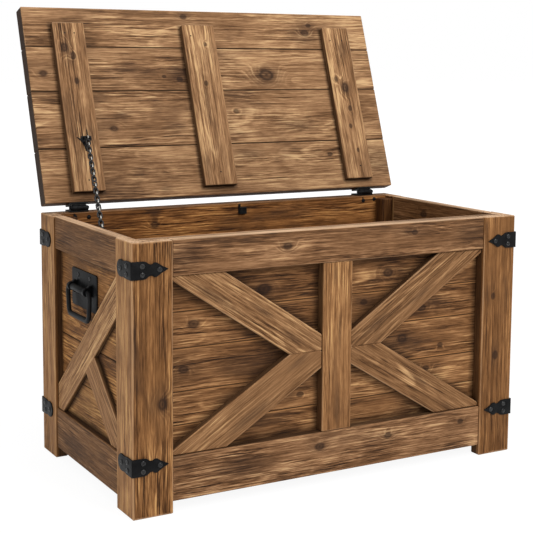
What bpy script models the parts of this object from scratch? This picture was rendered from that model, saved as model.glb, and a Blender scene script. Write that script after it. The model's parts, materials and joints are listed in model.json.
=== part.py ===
# Farmhouse storage chest with an open lid, iron corner straps, lift handles and a lid chain.
# Metres, +Z up, +X to the right as seen from the front, which faces -Y.
# The chest stands on z = 0 with its lid held open by the chain.
import math

import bmesh
import bpy
from mathutils import Matrix, Vector

MM = 0.001

# Overall box
chest_length = 790 * MM
chest_depth = 435 * MM
chest_height = 460 * MM
fit_gap = 0.3 * MM          # what touching pieces keep between them
edge_ease = 1.5 * MM        # planed-off edge of a board
edge_ease_small = 0.8 * MM  # the same on thin pieces

# Frame boards and corner posts
board_thickness = 24 * MM
post_front_width = 73 * MM
post_side_width = 68 * MM
corner_block_side = 26 * MM
corner_block_drop = 5 * MM     # how far the block stops below the rim
top_rail_height = 60 * MM
bottom_rail_height = 76 * MM
foot_clearance = 20 * MM       # floor to the underside of the bottom rails
rail_setback = 2 * MM          # front rails' faces lie behind the posts' faces
rail_setback_side = 3 * MM
stile_width = 60 * MM
stile_setback = 4 * MM

# Diagonal braces
brace_width = 60 * MM
brace_setback = 7 * MM
brace_mitre_drop = 5 * MM      # the mitre line lies this far below the opening's middle
brace_corner_lip = 7 * MM      # brace end that bears on the post beside the rail
brace_vertex_inset = 65 * MM   # stile to the point where two braces' inner edges meet
side_brace_width = 52 * MM
side_brace_thickness = 8 * MM
side_brace_toe = 25 * MM       # rear post to the brace's lower edge, on the bottom rail
half_brace_toe = 41 * MM       # front post to the half brace's lower edge, on the bottom rail
side_brace_drop = 63 * MM      # top rail to the full brace's lower edge, at the front post

# Walls and floor
wall_thickness = 15 * MM
side_panel_thickness = 9 * MM
wall_foot = 24 * MM            # floor to the walls' lower edges
floor_thickness = 12 * MM
floor_height = 40 * MM
groove_width = 3 * MM
groove_depth = 1.5 * MM
front_plank_seam_shares = (0.151, 0.339, 0.582, 0.786)   # of the opening's height
side_plank_seam_shares = (0.23, 0.48, 0.74)
rear_plank_seam_shares = (0.20, 0.40, 0.60, 0.80)
floor_seam_shares = (0.25, 0.5, 0.75)

# Lid
lid_thickness = 28 * MM
lid_depth = 392 * MM
lid_rest_gap = 0.5 * MM        # rim to the closed lid
lid_plank_seam_shares = (0.268, 0.561, 0.793)            # from the hinge edge
lid_open_angle = math.radians(109.5)
batten_thickness = 15 * MM
batten_rear_margin = 16 * MM
batten_front_margin = 36 * MM
end_batten_width = 64 * MM
middle_batten_width = 72 * MM
end_batten_inset = 55 * MM     # lid's end to the batten
middle_batten_offset = -26 * MM

# Butt hinges of the lid
hinge_width = 36 * MM
hinge_inset = 68 * MM          # chest's end to the hinge's middle
hinge_pin_inset = 24 * MM      # rear face to the pin
hinge_pin_height = 8 * MM      # rim to the pin
hinge_pin_radius = 1.8 * MM
hinge_bore_radius = 2.3 * MM
hinge_knuckle_radius = 4 * MM
hinge_pin_head_radius = 2.9 * MM
hinge_pin_head_length = 1.2 * MM
leaf_thickness = 2.2 * MM
leaf_drop = 27 * MM            # length of the box leaf down the rear rail
leaf_reach = 42 * MM           # length of the lid leaf over the lid
leaf_to_pin = 10 * MM          # lid's rear edge to the pin

# Screw heads
screw_head_radius = 4.4 * MM
screw_head_height = 2 * MM
small_screw_radius = 3.2 * MM
small_screw_height = 1.4 * MM
head_sink = 0.6 * MM           # how far a head's solid reaches into its plate

# Corner straps
strap_thickness = 2 * MM
strap_length = 64 * MM
strap_half_height = 15 * MM
strap_neck = 34 * MM
strap_neck_half = 9 * MM
strap_lobe = 42 * MM
strap_lobe_half = 12 * MM
strap_shoulder = 24 * MM
strap_screw_in = 18 * MM
strap_screw_half_pitch = 7 * MM
strap_screw_out = 48.5 * MM
strap_side_length = 57 * MM     # the arm on the post's side has a blunt end
strap_side_waist = 30 * MM
strap_side_waist_half = 13 * MM
strap_side_lobe = 42 * MM
strap_side_lobe_half = 14.5 * MM
strap_side_screw_out = 42 * MM
strap_upper_height = 414 * MM
strap_lower_height = 88 * MM

# Lift handles
handle_plate_width = 120 * MM
handle_plate_height = 68 * MM
handle_plate_thickness = 2.5 * MM
handle_plate_corner = 4 * MM
handle_to_brace = 3 * MM        # plate's lower corner to the full brace, along the side
handle_plate_drop = 24 * MM     # top rail to the plate's top edge
handle_pivot_drop = 31 * MM     # plate's top edge to the bail's axis
handle_pivot_stand = 13 * MM    # side panel to the bail's axis
handle_screw_inset = 32 * MM
handle_screw_drop = 10 * MM
bail_width = 118 * MM
bail_low_width = 108 * MM       # the loop narrows toward its grip
bail_height = 60 * MM
bail_radius = 4 * MM
bail_corner = 11 * MM
bail_sleeve_radius = 6 * MM     # thicker sleeve on the top bar, between the ears
bail_sleeve_length = 58 * MM
ear_bore_radius = 4.7 * MM
ear_radius = 8 * MM
ear_width = 8 * MM
ear_inset = 22 * MM             # bail's end to the middle of an ear

# Lid chain
chain_wire_radius = 1.1 * MM
chain_link_inner_half = 2 * MM
chain_links_per_half = 12
chain_link_bite = 0.6 * MM      # how far two links' wires press into each other
chain_middle_gap = 3.5 * MM     # opened pivot between the two halves
chain_anchor_depth = 205 * MM   # front face to the wall stud
chain_anchor_drop = 5 * MM      # rim to the wall stud
chain_anchor_stand = 8 * MM     # inner side face to the link on the stud
chain_eye_along_lid = 120 * MM  # lid's rear edge to the staple on the batten
chain_eye_stand = 7.5 * MM      # batten face to the staple's bar
chain_eye_across = 92 * MM      # lid's end to the link on the staple
stud_radius = 1.6 * MM
stud_head_radius = 3.4 * MM
stud_head_length = 1.6 * MM
anchor_plate_width = 15 * MM
anchor_plate_height = 16 * MM
anchor_plate_drop = 3 * MM      # rim to the anchor plate's top edge
staple_plate_width = 20 * MM
staple_plate_height = 9 * MM
staple_leg = 2.2 * MM
staple_opening = 9 * MM

# Small catch on the inner side of the rear wall
catch_width = 15 * MM
catch_height = 14 * MM
catch_depth = 6 * MM
catch_across = 413 * MM
catch_drop = 14 * MM            # rim to the catch's middle
catch_bar_width = 4 * MM
catch_bar_height = 26 * MM
catch_bar_depth = 3 * MM

# Roundness, in counts
round_sides = 12
wire_sides = 6
link_turn_steps = 4
corner_turn_steps = 4
bail_turn_steps = 4

# Worked out from the sizes above
half_length = chest_length / 2
rim_front = board_thickness + wall_thickness
rim_side = board_thickness
opening_low = foot_clearance + bottom_rail_height
opening_high = chest_height - top_rail_height
pin_y = chest_depth - hinge_pin_inset
pin_z = chest_height + hinge_pin_height
lid_underside = lid_rest_gap - hinge_pin_height
lid_topside = lid_underside + lid_thickness
lid_rear = -leaf_to_pin
strap_reach = strap_thickness + screw_head_height

# The side braces' slope, and how far from the rear post the full one passes the handle plate
side_opening = chest_depth - 2 * (post_side_width + fit_gap)
side_brace_climb = opening_high - opening_low - 2 * fit_gap - side_brace_drop
side_brace_rise = side_brace_climb / (side_opening - side_brace_toe)
side_brace_level_width = side_brace_width * math.hypot(1, side_brace_rise) / side_brace_rise
plate_low = opening_high - handle_plate_drop - handle_plate_height
brace_lower_edge = side_brace_toe + (plate_low - opening_low - fit_gap) / side_brace_rise
handle_to_rear_post = (
    fit_gap + brace_lower_edge - side_brace_level_width - handle_to_brace - handle_plate_width
)


def turned(y, z, angle):
    """A point of the closed lid, measured from the pin, after the lid opens by an angle."""
    return (y * math.cos(angle) + z * math.sin(angle), z * math.cos(angle) - y * math.sin(angle))


# The origin lies under the middle of everything, lid included
lid_back_reach = pin_y + turned(lid_rear - lid_depth, lid_topside, lid_open_angle)[0]
front_y = -(lid_back_reach - strap_reach) / 2


def at(x, y, z):
    """A place given from the chest's middle, its front face and the floor."""
    return Vector((x, front_y + y, z))


def clear_scene():
    for thing in list(bpy.data.objects):
        bpy.data.objects.remove(thing, do_unlink=True)


def make_material(name, colour, roughness, metallic=0.0):
    material = bpy.data.materials.new(name)
    material.use_nodes = True
    shader = material.node_tree.nodes["Principled BSDF"]
    shader.inputs["Base Color"].default_value = (*colour, 1.0)
    shader.inputs["Roughness"].default_value = roughness
    shader.inputs["Metallic"].default_value = metallic
    material.diffuse_color = (*colour, 1.0)
    return material


def make_object(name, mesh_maker, material, pivot=None, parent=None):
    """An object whose mesh comes from a bmesh; its origin is at the pivot."""
    bm = bmesh.new()
    mesh_maker(bm)
    bmesh.ops.recalc_face_normals(bm, faces=bm.faces)
    if pivot is not None:
        bmesh.ops.translate(bm, verts=bm.verts, vec=-pivot)
    mesh = bpy.data.meshes.new(name)
    bm.to_mesh(mesh)
    bm.free()
    mesh.materials.append(material)
    thing = bpy.data.objects.new(name, mesh)
    bpy.context.scene.collection.objects.link(thing)
    if pivot is not None:
        thing.location = pivot
    if parent is not None:
        thing.parent = parent
    return thing


def add_prism(bm, outline, axis, start, end):
    """Extrudes a flat outline along X, Y or Z. The outline's two numbers are the other two axes."""
    spread = {
        "X": lambda a, b, along: Vector((along, a, b)),
        "Y": lambda a, b, along: Vector((a, along, b)),
        "Z": lambda a, b, along: Vector((a, b, along)),
    }[axis]
    lower = [bm.verts.new(spread(a, b, start)) for a, b in outline]
    upper = [bm.verts.new(spread(a, b, end)) for a, b in outline]
    bm.faces.new(lower)
    bm.faces.new(upper)
    count = len(outline)
    for i in range(count):
        j = (i + 1) % count
        bm.faces.new((lower[i], lower[j], upper[j], upper[i]))


def add_box(bm, x_span, y_span, z_span):
    outline = [
        (x_span[0], y_span[0]),
        (x_span[1], y_span[0]),
        (x_span[1], y_span[1]),
        (x_span[0], y_span[1]),
    ]
    add_prism(bm, outline, "Z", z_span[0], z_span[1])


def add_tube(bm, points, radius, sides, closed, upright):
    """A round wire along points; upright is a direction that the path never follows."""
    rings = []
    count = len(points)
    for i, point in enumerate(points):
        if closed:
            run = points[(i + 1) % count] - points[i - 1]
        else:
            run = points[min(i + 1, count - 1)] - points[max(i - 1, 0)]
        run.normalize()
        side = run.cross(upright).normalized()
        rise = side.cross(run).normalized()
        ring = []
        for k in range(sides):
            turn = math.tau * (k + 0.5) / sides
            ring.append(bm.verts.new(point + (side * math.cos(turn) + rise * math.sin(turn)) * radius))
        rings.append(ring)
    last = count if closed else count - 1
    for i in range(last):
        here, there = rings[i], rings[(i + 1) % count]
        for k in range(sides):
            n = (k + 1) % sides
            bm.faces.new((here[k], here[n], there[n], there[k]))
    if not closed:
        bm.faces.new(rings[0])
        bm.faces.new(rings[-1])


def add_round(bm, centre, direction, profile, sides):
    """A turned solid: profile holds (distance along the direction, radius), from end to end."""
    axis = direction.normalized()
    helper = Vector((0, 0, 1)) if abs(axis.z) < math.sqrt(0.5) else Vector((1, 0, 0))
    side = axis.cross(helper).normalized()
    rise = axis.cross(side).normalized()
    rings = []
    for along, radius in profile:
        ring = []
        for k in range(sides):
            turn = math.tau * (k + 0.5) / sides
            offset = (side * math.cos(turn) + rise * math.sin(turn)) * radius
            ring.append(bm.verts.new(centre + axis * along + offset))
        rings.append(ring)
    for here, there in zip(rings, rings[1:]):
        for k in range(sides):
            n = (k + 1) % sides
            bm.faces.new((here[k], here[n], there[n], there[k]))
    bm.faces.new(rings[0])
    bm.faces.new(rings[-1])


def add_head(bm, centre, outward, radius, height):
    """A domed screw head that stands on a plate and reaches a little into it."""
    profile = [
        (-head_sink, radius),
        (height * 0.35, radius),
        (height * 0.8, radius * 0.7),
        (height, radius * 0.3),
    ]
    add_round(bm, centre, outward, profile, round_sides - 4)


def ease_edges(thing, width):
    """Takes the sharpness off a board's edges."""
    bevel = thing.modifiers.new("edge", "BEVEL")
    bevel.width = width
    bevel.segments = 1
    bevel.limit_method = "ANGLE"
    bevel.angle_limit = math.radians(40)
    bevel.harden_normals = False


def fuse(thing, makers, operation="UNION", ease=0.0):
    """Joins further solids to an object, or cuts them from it, and keeps the result as its mesh."""
    for maker in makers:
        other = make_object("fuse_tool", maker, thing.data.materials[0])
        if ease > 0:
            ease_edges(other, ease)
        bpy.context.view_layer.update()
        modifier = thing.modifiers.new("fuse", "BOOLEAN")
        modifier.operation = operation
        modifier.solver = "EXACT"
        modifier.object = other
        graph = bpy.context.evaluated_depsgraph_get()
        solid = bpy.data.meshes.new_from_object(thing.evaluated_get(graph))
        thing.modifiers.clear()
        old = thing.data
        thing.data = solid
        solid.name = old.name
        bpy.data.meshes.remove(old)
        bpy.data.objects.remove(other, do_unlink=True)


def clipped(outline, point, keep):
    """The part of a flat convex outline on the side of a line that the keep direction points to."""
    result = []
    count = len(outline)
    for i in range(count):
        a, b = Vector(outline[i]), Vector(outline[(i + 1) % count])
        da, db = (a - point).dot(keep), (b - point).dot(keep)
        if da >= 0:
            result.append((a.x, a.y))
        if da * db < 0:
            c = a + (b - a) * (da / (da - db))
            result.append((c.x, c.y))
    return result


def strip_outline(corner_low, corner_high, foot, rise, width):
    """A brace's face: the strip above a sloping lower edge, inside the rectangle of its opening.

    The lower edge passes through foot and climbs by the rise for each unit along the first axis."""
    box = [
        (corner_low[0], corner_low[1]),
        (corner_high[0], corner_low[1]),
        (corner_high[0], corner_high[1]),
        (corner_low[0], corner_high[1]),
    ]
    along = Vector((1.0, rise)).normalized()
    normal = Vector((-along.y, along.x))
    low = Vector(foot)
    outline = clipped(box, low, normal)
    return clipped(outline, low + normal * width, -normal)


def mirrored(outline, middle):
    """The same outline mirrored about a place on its first axis."""
    return [(middle * 2 - a, b) for a, b in reversed(outline)]


def arc_points(centre, radius, start, end, steps):
    """Points of a flat arc, ends included; angles in degrees."""
    points = []
    for i in range(steps + 1):
        turn = math.radians(start + (end - start) * i / steps)
        points.append((centre[0] + radius * math.cos(turn), centre[1] + radius * math.sin(turn)))
    return points


def plank_profile(low, high, face, back, seams, both_sides=True):
    """Section of a board wall: first number runs through the wall, second up it, with V grooves."""
    half = groove_width / 2
    away = -groove_depth if face > back else groove_depth
    outline = [(face, low)]
    for seam in seams:
        outline += [(face, seam - half), (face + away, seam), (face, seam + half)]
    outline += [(face, high), (back, high)]
    if both_sides:
        for seam in reversed(seams):
            outline += [(back, seam + half), (back - away, seam), (back, seam - half)]
    outline.append((back, low))
    return outline


def seam_places(low, high, shares):
    return [low + (high - low) * share for share in shares]


# Wooden box

def corner_post(row, side, wood):
    """A post glued up from a face board, a return board and an inner block, as one solid."""
    x_sign = -1 if side == "left" else 1
    rear = row == "rear"

    def place(x, y):
        """From the post's own corner, inwards along the face and along the side."""
        depth = chest_depth - y if rear else y
        return (x_sign * (half_length - x), front_y + depth)

    face_board = [
        place(0, 0),
        place(post_front_width, 0),
        place(post_front_width, board_thickness),
        place(0, board_thickness),
    ]
    return_near = board_thickness - edge_ease / 2
    return_board = [
        place(0, return_near),
        place(board_thickness, return_near),
        place(board_thickness, post_side_width),
        place(0, post_side_width),
    ]
    block_near = rim_front + fit_gap
    block_root = board_thickness - edge_ease * 2
    block = [
        place(block_root, block_near),
        place(board_thickness + corner_block_side, block_near),
        place(board_thickness + corner_block_side, block_near + corner_block_side),
        place(block_root, block_near + corner_block_side),
    ]
    post = make_object(
        f"corner_post_{row}_{side}", lambda bm: add_prism(bm, face_board, "Z", 0, chest_height), wood
    )
    ease_edges(post, edge_ease)
    block_low = floor_height + floor_thickness + fit_gap
    block_high = chest_height - corner_block_drop
    joined = [
        lambda bm: add_prism(bm, return_board, "Z", 0, chest_height),
        lambda bm: add_prism(bm, block, "Z", block_low, block_high),
    ]
    fuse(post, joined, ease=edge_ease)


def rail_boards(wood):
    """Top and bottom rails between the posts on all four sides."""
    heights = {
        "top": (opening_high, chest_height),
        "bottom": (foot_clearance, opening_low),
    }
    x_span = (
        -half_length + post_front_width + fit_gap,
        half_length - post_front_width - fit_gap,
    )
    for level, z_span in heights.items():
        for row in ("front", "rear"):
            faces = (rail_setback, board_thickness)
            if row == "rear":
                faces = (chest_depth - board_thickness, chest_depth)
            y_span = (front_y + faces[0], front_y + faces[1])
            rail = make_object(
                f"{row}_{level}_rail", lambda bm: add_box(bm, x_span, y_span, z_span), wood
            )
            ease_edges(rail, edge_ease)
        y_side = (
            front_y + post_side_width + fit_gap,
            front_y + chest_depth - post_side_width - fit_gap,
        )
        for side, x_sign in (("left", -1), ("right", 1)):
            x_ends = sorted(
                (x_sign * (half_length - rail_setback_side), x_sign * (half_length - board_thickness))
            )
            rail = make_object(
                f"{side}_{level}_rail", lambda bm: add_box(bm, x_ends, y_side, z_span), wood
            )
            ease_edges(rail, edge_ease)


def front_frame(wood):
    """The centre stile and the four braces that meet against it."""
    y_back = front_y + board_thickness - fit_gap
    z_span = (opening_low + fit_gap, opening_high - fit_gap)
    stile = make_object(
        "front_stile",
        lambda bm: add_box(
            bm, (-stile_width / 2, stile_width / 2), (front_y + stile_setback, y_back), z_span
        ),
        wood,
    )
    ease_edges(stile, edge_ease)
    mitre = (opening_low + opening_high) / 2 - brace_mitre_drop
    post_edge = half_length - post_front_width - fit_gap
    stile_edge = stile_width / 2 + fit_gap
    vertex = stile_edge + brace_vertex_inset
    for level in ("upper", "lower"):
        corner_z = z_span[1] if level == "upper" else z_span[0]
        up = 1 if level == "upper" else -1
        near = mitre + up * fit_gap / 2
        rise = (abs(corner_z - near) - brace_corner_lip) / (post_edge - vertex)
        # Drawn for the right half with its corner upwards, then flipped where needed
        outline = strip_outline(
            (stile_edge, 0), (post_edge, abs(corner_z - near)), (vertex, 0), rise, brace_width
        )
        right = [(a, near + up * b) for a, b in outline]
        for side in ("left", "right"):
            face = right if side == "right" else mirrored(right, 0)
            brace = make_object(
                f"front_brace_{level}_{side}",
                lambda bm: add_prism(bm, face, "Y", front_y + brace_setback, y_back),
                wood,
            )
            ease_edges(brace, edge_ease)


def side_frame(wood):
    """On each end a full diagonal brace and a half brace that stops against it."""
    low = (front_y + post_side_width + fit_gap, opening_low + fit_gap)
    high = (front_y + chest_depth - post_side_width - fit_gap, opening_high - fit_gap)
    middle = (low[0] + high[0]) / 2
    # The full brace climbs towards the front, so it is drawn climbing to the rear and mirrored
    full_foot = (low[0] + side_brace_toe, low[1])
    rise = side_brace_rise
    full = mirrored(strip_outline(low, high, full_foot, rise, side_brace_width), middle)
    half_foot = (low[0] + half_brace_toe, low[1])
    half = strip_outline(low, high, half_foot, rise, side_brace_width)
    cut_direction = Vector((-rise, -1.0)).normalized()
    cut_point = Vector((high[0] - side_brace_toe, low[1])) + cut_direction * fit_gap
    half = clipped(half, cut_point, cut_direction)
    face_x = half_length - board_thickness + side_panel_thickness + side_brace_thickness + fit_gap
    back_x = half_length - board_thickness + side_panel_thickness + fit_gap
    for side, x_sign in (("left", -1), ("right", 1)):
        ends = sorted((x_sign * face_x, x_sign * back_x))
        for name, face in (("full", full), ("half", half)):
            brace = make_object(
                f"{side}_brace_{name}", lambda bm: add_prism(bm, face, "X", *ends), wood
            )
            ease_edges(brace, edge_ease_small)


def front_planks(wood):
    """Separate wall planks behind the front frame; the end ones run on behind the rails."""
    seams = seam_places(opening_low, opening_high, front_plank_seam_shares)
    levels = [wall_foot, *seams, chest_height]
    x_reach = half_length - board_thickness - fit_gap
    y_span = (front_y + board_thickness + fit_gap, front_y + rim_front)
    for i, (low, high) in enumerate(zip(levels, levels[1:])):
        z_span = (low + fit_gap / 2, high - fit_gap / 2)
        plank = make_object(
            f"front_plank_{i + 1}",
            lambda bm: add_box(bm, (-x_reach, x_reach), y_span, z_span),
            wood,
        )
        ease_edges(plank, edge_ease_small)


def panel_walls(wood):
    """The rear wall and the two end panels, each a glued row of grooved boards."""
    x_reach = half_length - board_thickness - fit_gap
    rear_face = front_y + chest_depth - board_thickness - fit_gap
    rear_back = front_y + chest_depth - rim_front
    seams = seam_places(wall_foot, chest_height, rear_plank_seam_shares)
    outline = plank_profile(wall_foot, chest_height, rear_face, rear_back, seams)
    make_object(
        "rear_wall", lambda bm: add_prism(bm, outline, "X", -x_reach, x_reach), wood
    )
    low, high = opening_low + fit_gap, opening_high - fit_gap
    y_ends = (
        front_y + post_side_width + fit_gap,
        front_y + chest_depth - post_side_width - fit_gap,
    )
    seams = seam_places(low, high, side_plank_seam_shares)
    for side, x_sign in (("left", -1), ("right", 1)):
        back = x_sign * (half_length - board_thickness)
        face = x_sign * (half_length - board_thickness + side_panel_thickness)
        section = plank_profile(low, high, face, back, seams)
        make_object(
            f"{side}_panel", lambda bm: add_prism(bm, section, "Y", *y_ends), wood
        )


def chest_floor(wood):
    """The floor boards, glued to one plate between the walls."""
    x_reach = half_length - rim_side - fit_gap
    y_low = front_y + rim_front + fit_gap
    y_high = front_y + chest_depth - rim_front - fit_gap
    seams = seam_places(y_low, y_high, floor_seam_shares)
    flat = plank_profile(
        y_low, y_high, floor_height + floor_thickness, floor_height, seams, both_sides=False
    )
    outline = [(y, z) for z, y in flat]
    make_object("floor_board", lambda bm: add_prism(bm, outline, "X", -x_reach, x_reach), wood)


# Lid, drawn closed with the hinge pin at its origin and swung open by its pivot

def lid_pivot_empty():
    pivot = bpy.data.objects.new("lid_pivot", None)
    bpy.context.scene.collection.objects.link(pivot)
    pivot.location = at(0, pin_y, pin_z)
    pivot.rotation_euler = (-lid_open_angle, 0, 0)
    return pivot


def lid_boards(wood, pivot):
    seams = seam_places(0, lid_depth, lid_plank_seam_shares)
    levels = [0, *seams, lid_depth]
    z_span = (lid_underside, lid_topside)
    for i, (near, far) in enumerate(zip(levels, levels[1:])):
        y_span = (lid_rear - far + fit_gap / 2, lid_rear - near - fit_gap / 2)
        if i == 0:
            y_span = (y_span[0], lid_rear)
        if i == len(levels) - 2:
            y_span = (lid_rear - far, y_span[1])
        plank = make_object(
            f"lid_plank_{i + 1}",
            lambda bm: add_box(bm, (-half_length, half_length), y_span, z_span),
            wood,
            parent=pivot,
        )
        ease_edges(plank, edge_ease)
    battens = {
        "left": (-half_length + end_batten_inset, end_batten_width),
        "middle": (middle_batten_offset - middle_batten_width / 2, middle_batten_width),
        "right": (half_length - end_batten_inset - end_batten_width, end_batten_width),
    }
    b_y = (lid_rear - lid_depth + batten_front_margin, lid_rear - batten_rear_margin)
    b_z = (lid_underside - fit_gap - batten_thickness, lid_underside - fit_gap)
    for name, (start, width) in battens.items():
        batten = make_object(
            f"lid_batten_{name}",
            lambda bm: add_box(bm, (start, start + width), b_y, b_z),
            wood,
            parent=pivot,
        )
        ease_edges(batten, edge_ease)


def knuckle_outline():
    """Half of a knuckle's ring; two halves meet in a closed ring with its bore open."""
    return [
        (hinge_knuckle_radius * math.cos(math.tau * k / round_sides),
         hinge_knuckle_radius * math.sin(math.tau * k / round_sides))
        for k in range(round_sides)
    ]


def add_bore(bm, x_span, centre_y, centre_z):
    centre = Vector((x_span[0], centre_y, centre_z))
    length = x_span[1] - x_span[0]
    add_round(
        bm, centre, Vector((1, 0, 0)), [(0, hinge_bore_radius), (length, hinge_bore_radius)], round_sides
    )


def hinge_set(side, iron, pivot):
    """Box leaf, lid leaf and pin of one hinge."""
    middle = (-1 if side == "left" else 1) * (half_length - hinge_inset)
    west, east = middle - hinge_width / 2, middle + hinge_width / 2
    third = hinge_width / 3
    overrun = screw_head_height
    ring = knuckle_outline()

    # Box leaf: over the rim and down the rear rail
    leaf_y = front_y + chest_depth + fit_gap
    leaf_z = chest_height + fit_gap
    pin_at = at(0, pin_y, pin_z)
    hook = [
        (leaf_y, chest_height - leaf_drop),
        (leaf_y + leaf_thickness, chest_height - leaf_drop),
        (leaf_y + leaf_thickness, leaf_z + leaf_thickness),
        (pin_at.y - hinge_knuckle_radius, leaf_z + leaf_thickness),
        (pin_at.y - hinge_knuckle_radius, leaf_z),
        (leaf_y, leaf_z),
    ]
    box_leaf = make_object(
        f"hinge_{side}_box_leaf", lambda bm: add_prism(bm, hook, "X", west, east), iron
    )
    tab_high = pin_at.z - hinge_bore_radius
    outer = ((west, west + third - fit_gap), (east - third + fit_gap, east))
    additions = []
    for span in outer:
        tab_y = (pin_at.y - leaf_thickness, pin_at.y + leaf_thickness)
        tab_z = (leaf_z + head_sink, tab_high)
        additions.append(lambda bm, s=span, y=tab_y, z=tab_z: add_box(bm, s, y, z))
        rolled = [(pin_at.y + a, pin_at.z + b) for a, b in ring]
        additions.append(lambda bm, s=span, r=rolled: add_prism(bm, r, "X", *s))
    for x in (west + hinge_width / 4, east - hinge_width / 4):
        place = Vector((x, leaf_y + leaf_thickness, chest_height - leaf_drop / 2))
        additions.append(
            lambda bm, p=place: add_head(
                bm, p, Vector((0, 1, 0)), small_screw_radius, small_screw_height
            )
        )
    fuse(box_leaf, additions)
    bore = (west - overrun, east + overrun)
    fuse(box_leaf, [lambda bm: add_bore(bm, bore, pin_at.y, pin_at.z)], "DIFFERENCE")

    # Lid leaf, in the closed lid's own frame: over the lid's top and down its rear edge
    top_z = lid_topside + fit_gap
    edge_y = lid_rear + fit_gap
    angle = [
        (lid_rear - leaf_reach, top_z),
        (edge_y, top_z),
        (edge_y, lid_underside + leaf_thickness),
        (edge_y + leaf_thickness, lid_underside + leaf_thickness),
        (edge_y + leaf_thickness, top_z + leaf_thickness),
        (lid_rear - leaf_reach, top_z + leaf_thickness),
    ]
    lid_leaf = make_object(
        f"hinge_{side}_lid_leaf", lambda bm: add_prism(bm, angle, "X", west, east), iron
    )
    inner = (west + third + fit_gap, east - third - fit_gap)
    web_y = (edge_y + head_sink, -hinge_bore_radius)
    web_z = (-leaf_thickness / 2, leaf_thickness / 2)
    additions = [
        lambda bm: add_box(bm, inner, web_y, web_z),
        lambda bm: add_prism(bm, ring, "X", *inner),
    ]
    for x in (west + hinge_width / 4, east - hinge_width / 4):
        place = Vector((x, lid_rear - leaf_reach / 2, top_z + leaf_thickness))
        additions.append(
            lambda bm, p=place: add_head(
                bm, p, Vector((0, 0, 1)), small_screw_radius, small_screw_height
            )
        )
    fuse(lid_leaf, additions)
    fuse(lid_leaf, [lambda bm: add_bore(bm, bore, 0, 0)], "DIFFERENCE")
    lid_leaf.parent = pivot

    # Pin with a small head at each end
    head = hinge_pin_head_length
    profile = [
        (-head - fit_gap, hinge_pin_head_radius),
        (-fit_gap, hinge_pin_head_radius),
        (-fit_gap, hinge_pin_radius),
        (hinge_width + fit_gap, hinge_pin_radius),
        (hinge_width + fit_gap, hinge_pin_head_radius),
        (hinge_width + fit_gap + head, hinge_pin_head_radius),
    ]
    start = Vector((west, pin_at.y, pin_at.z))
    make_object(
        f"hinge_{side}_pin",
        lambda bm: add_round(bm, start, Vector((1, 0, 0)), profile, round_sides),
        iron,
    )


# Iron corner straps

def strap_outline():
    """One arm of a strap from the corner to its spear point; second number is up."""
    upper = [
        (0, strap_half_height),
        (strap_thickness * 2, strap_half_height),
        (strap_shoulder, strap_half_height * 0.97),
        (strap_neck - strap_thickness * 2, strap_neck_half * 1.15),
        (strap_neck, strap_neck_half),
        (strap_lobe - strap_thickness * 2, strap_lobe_half * 0.95),
        (strap_lobe, strap_lobe_half),
        (strap_lobe + strap_thickness * 3, strap_lobe_half * 0.72),
    ]
    return upper + [(strap_length, 0)] + [(a, -b) for a, b in reversed(upper)]


def strap_side_outline():
    """The blunt arm on a post's side; second number is up."""
    upper = [
        (0, strap_half_height),
        (strap_shoulder - strap_thickness * 2, strap_half_height),
        (strap_side_waist, strap_side_waist_half),
        (strap_side_lobe, strap_side_lobe_half),
        (strap_side_length - strap_thickness * 4, strap_side_lobe_half * 0.88),
        (strap_side_length - strap_thickness, strap_side_lobe_half * 0.5),
    ]
    return upper + [(strap_side_length, 0)] + [(a, -b) for a, b in reversed(upper)]


def corner_strap(row, side, level, iron):
    """An angle strap round a post's corner with three domed screws on each arm."""
    x_sign = -1 if side == "left" else 1
    y_sign = -1 if row == "front" else 1
    z = strap_upper_height if level == "upper" else strap_lower_height
    corner_x = x_sign * (half_length + fit_gap)
    corner_y = (front_y - fit_gap) if row == "front" else (front_y + chest_depth + fit_gap)
    outer_x = corner_x + x_sign * strap_thickness
    outer_y = corner_y + y_sign * strap_thickness
    along_x = [(outer_x - x_sign * a, z + b) for a, b in strap_outline()]
    along_y = [(outer_y - y_sign * a, z + b) for a, b in strap_side_outline()]
    y_ends = sorted((corner_y, outer_y))
    x_ends = sorted((corner_x, outer_x))
    strap = make_object(
        f"corner_strap_{row}_{side}_{level}", lambda bm: add_prism(bm, along_x, "Y", *y_ends), iron
    )
    additions = [lambda bm: add_prism(bm, along_y, "X", *x_ends)]
    spots = (
        (strap_screw_in, strap_screw_in, strap_screw_half_pitch),
        (strap_screw_in, strap_screw_in, -strap_screw_half_pitch),
        (strap_screw_out, strap_side_screw_out, 0),
    )
    for on_front, on_end, b in spots:
        on_face = Vector((outer_x - x_sign * on_front, outer_y, z + b))
        on_side = Vector((outer_x, outer_y - y_sign * on_end, z + b))
        for place, out in ((on_face, Vector((0, y_sign, 0))), (on_side, Vector((x_sign, 0, 0)))):
            additions.append(
                lambda bm, p=place, o=out: add_head(bm, p, o, screw_head_radius, screw_head_height)
            )
    fuse(strap, additions)


# Lift handles

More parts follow.
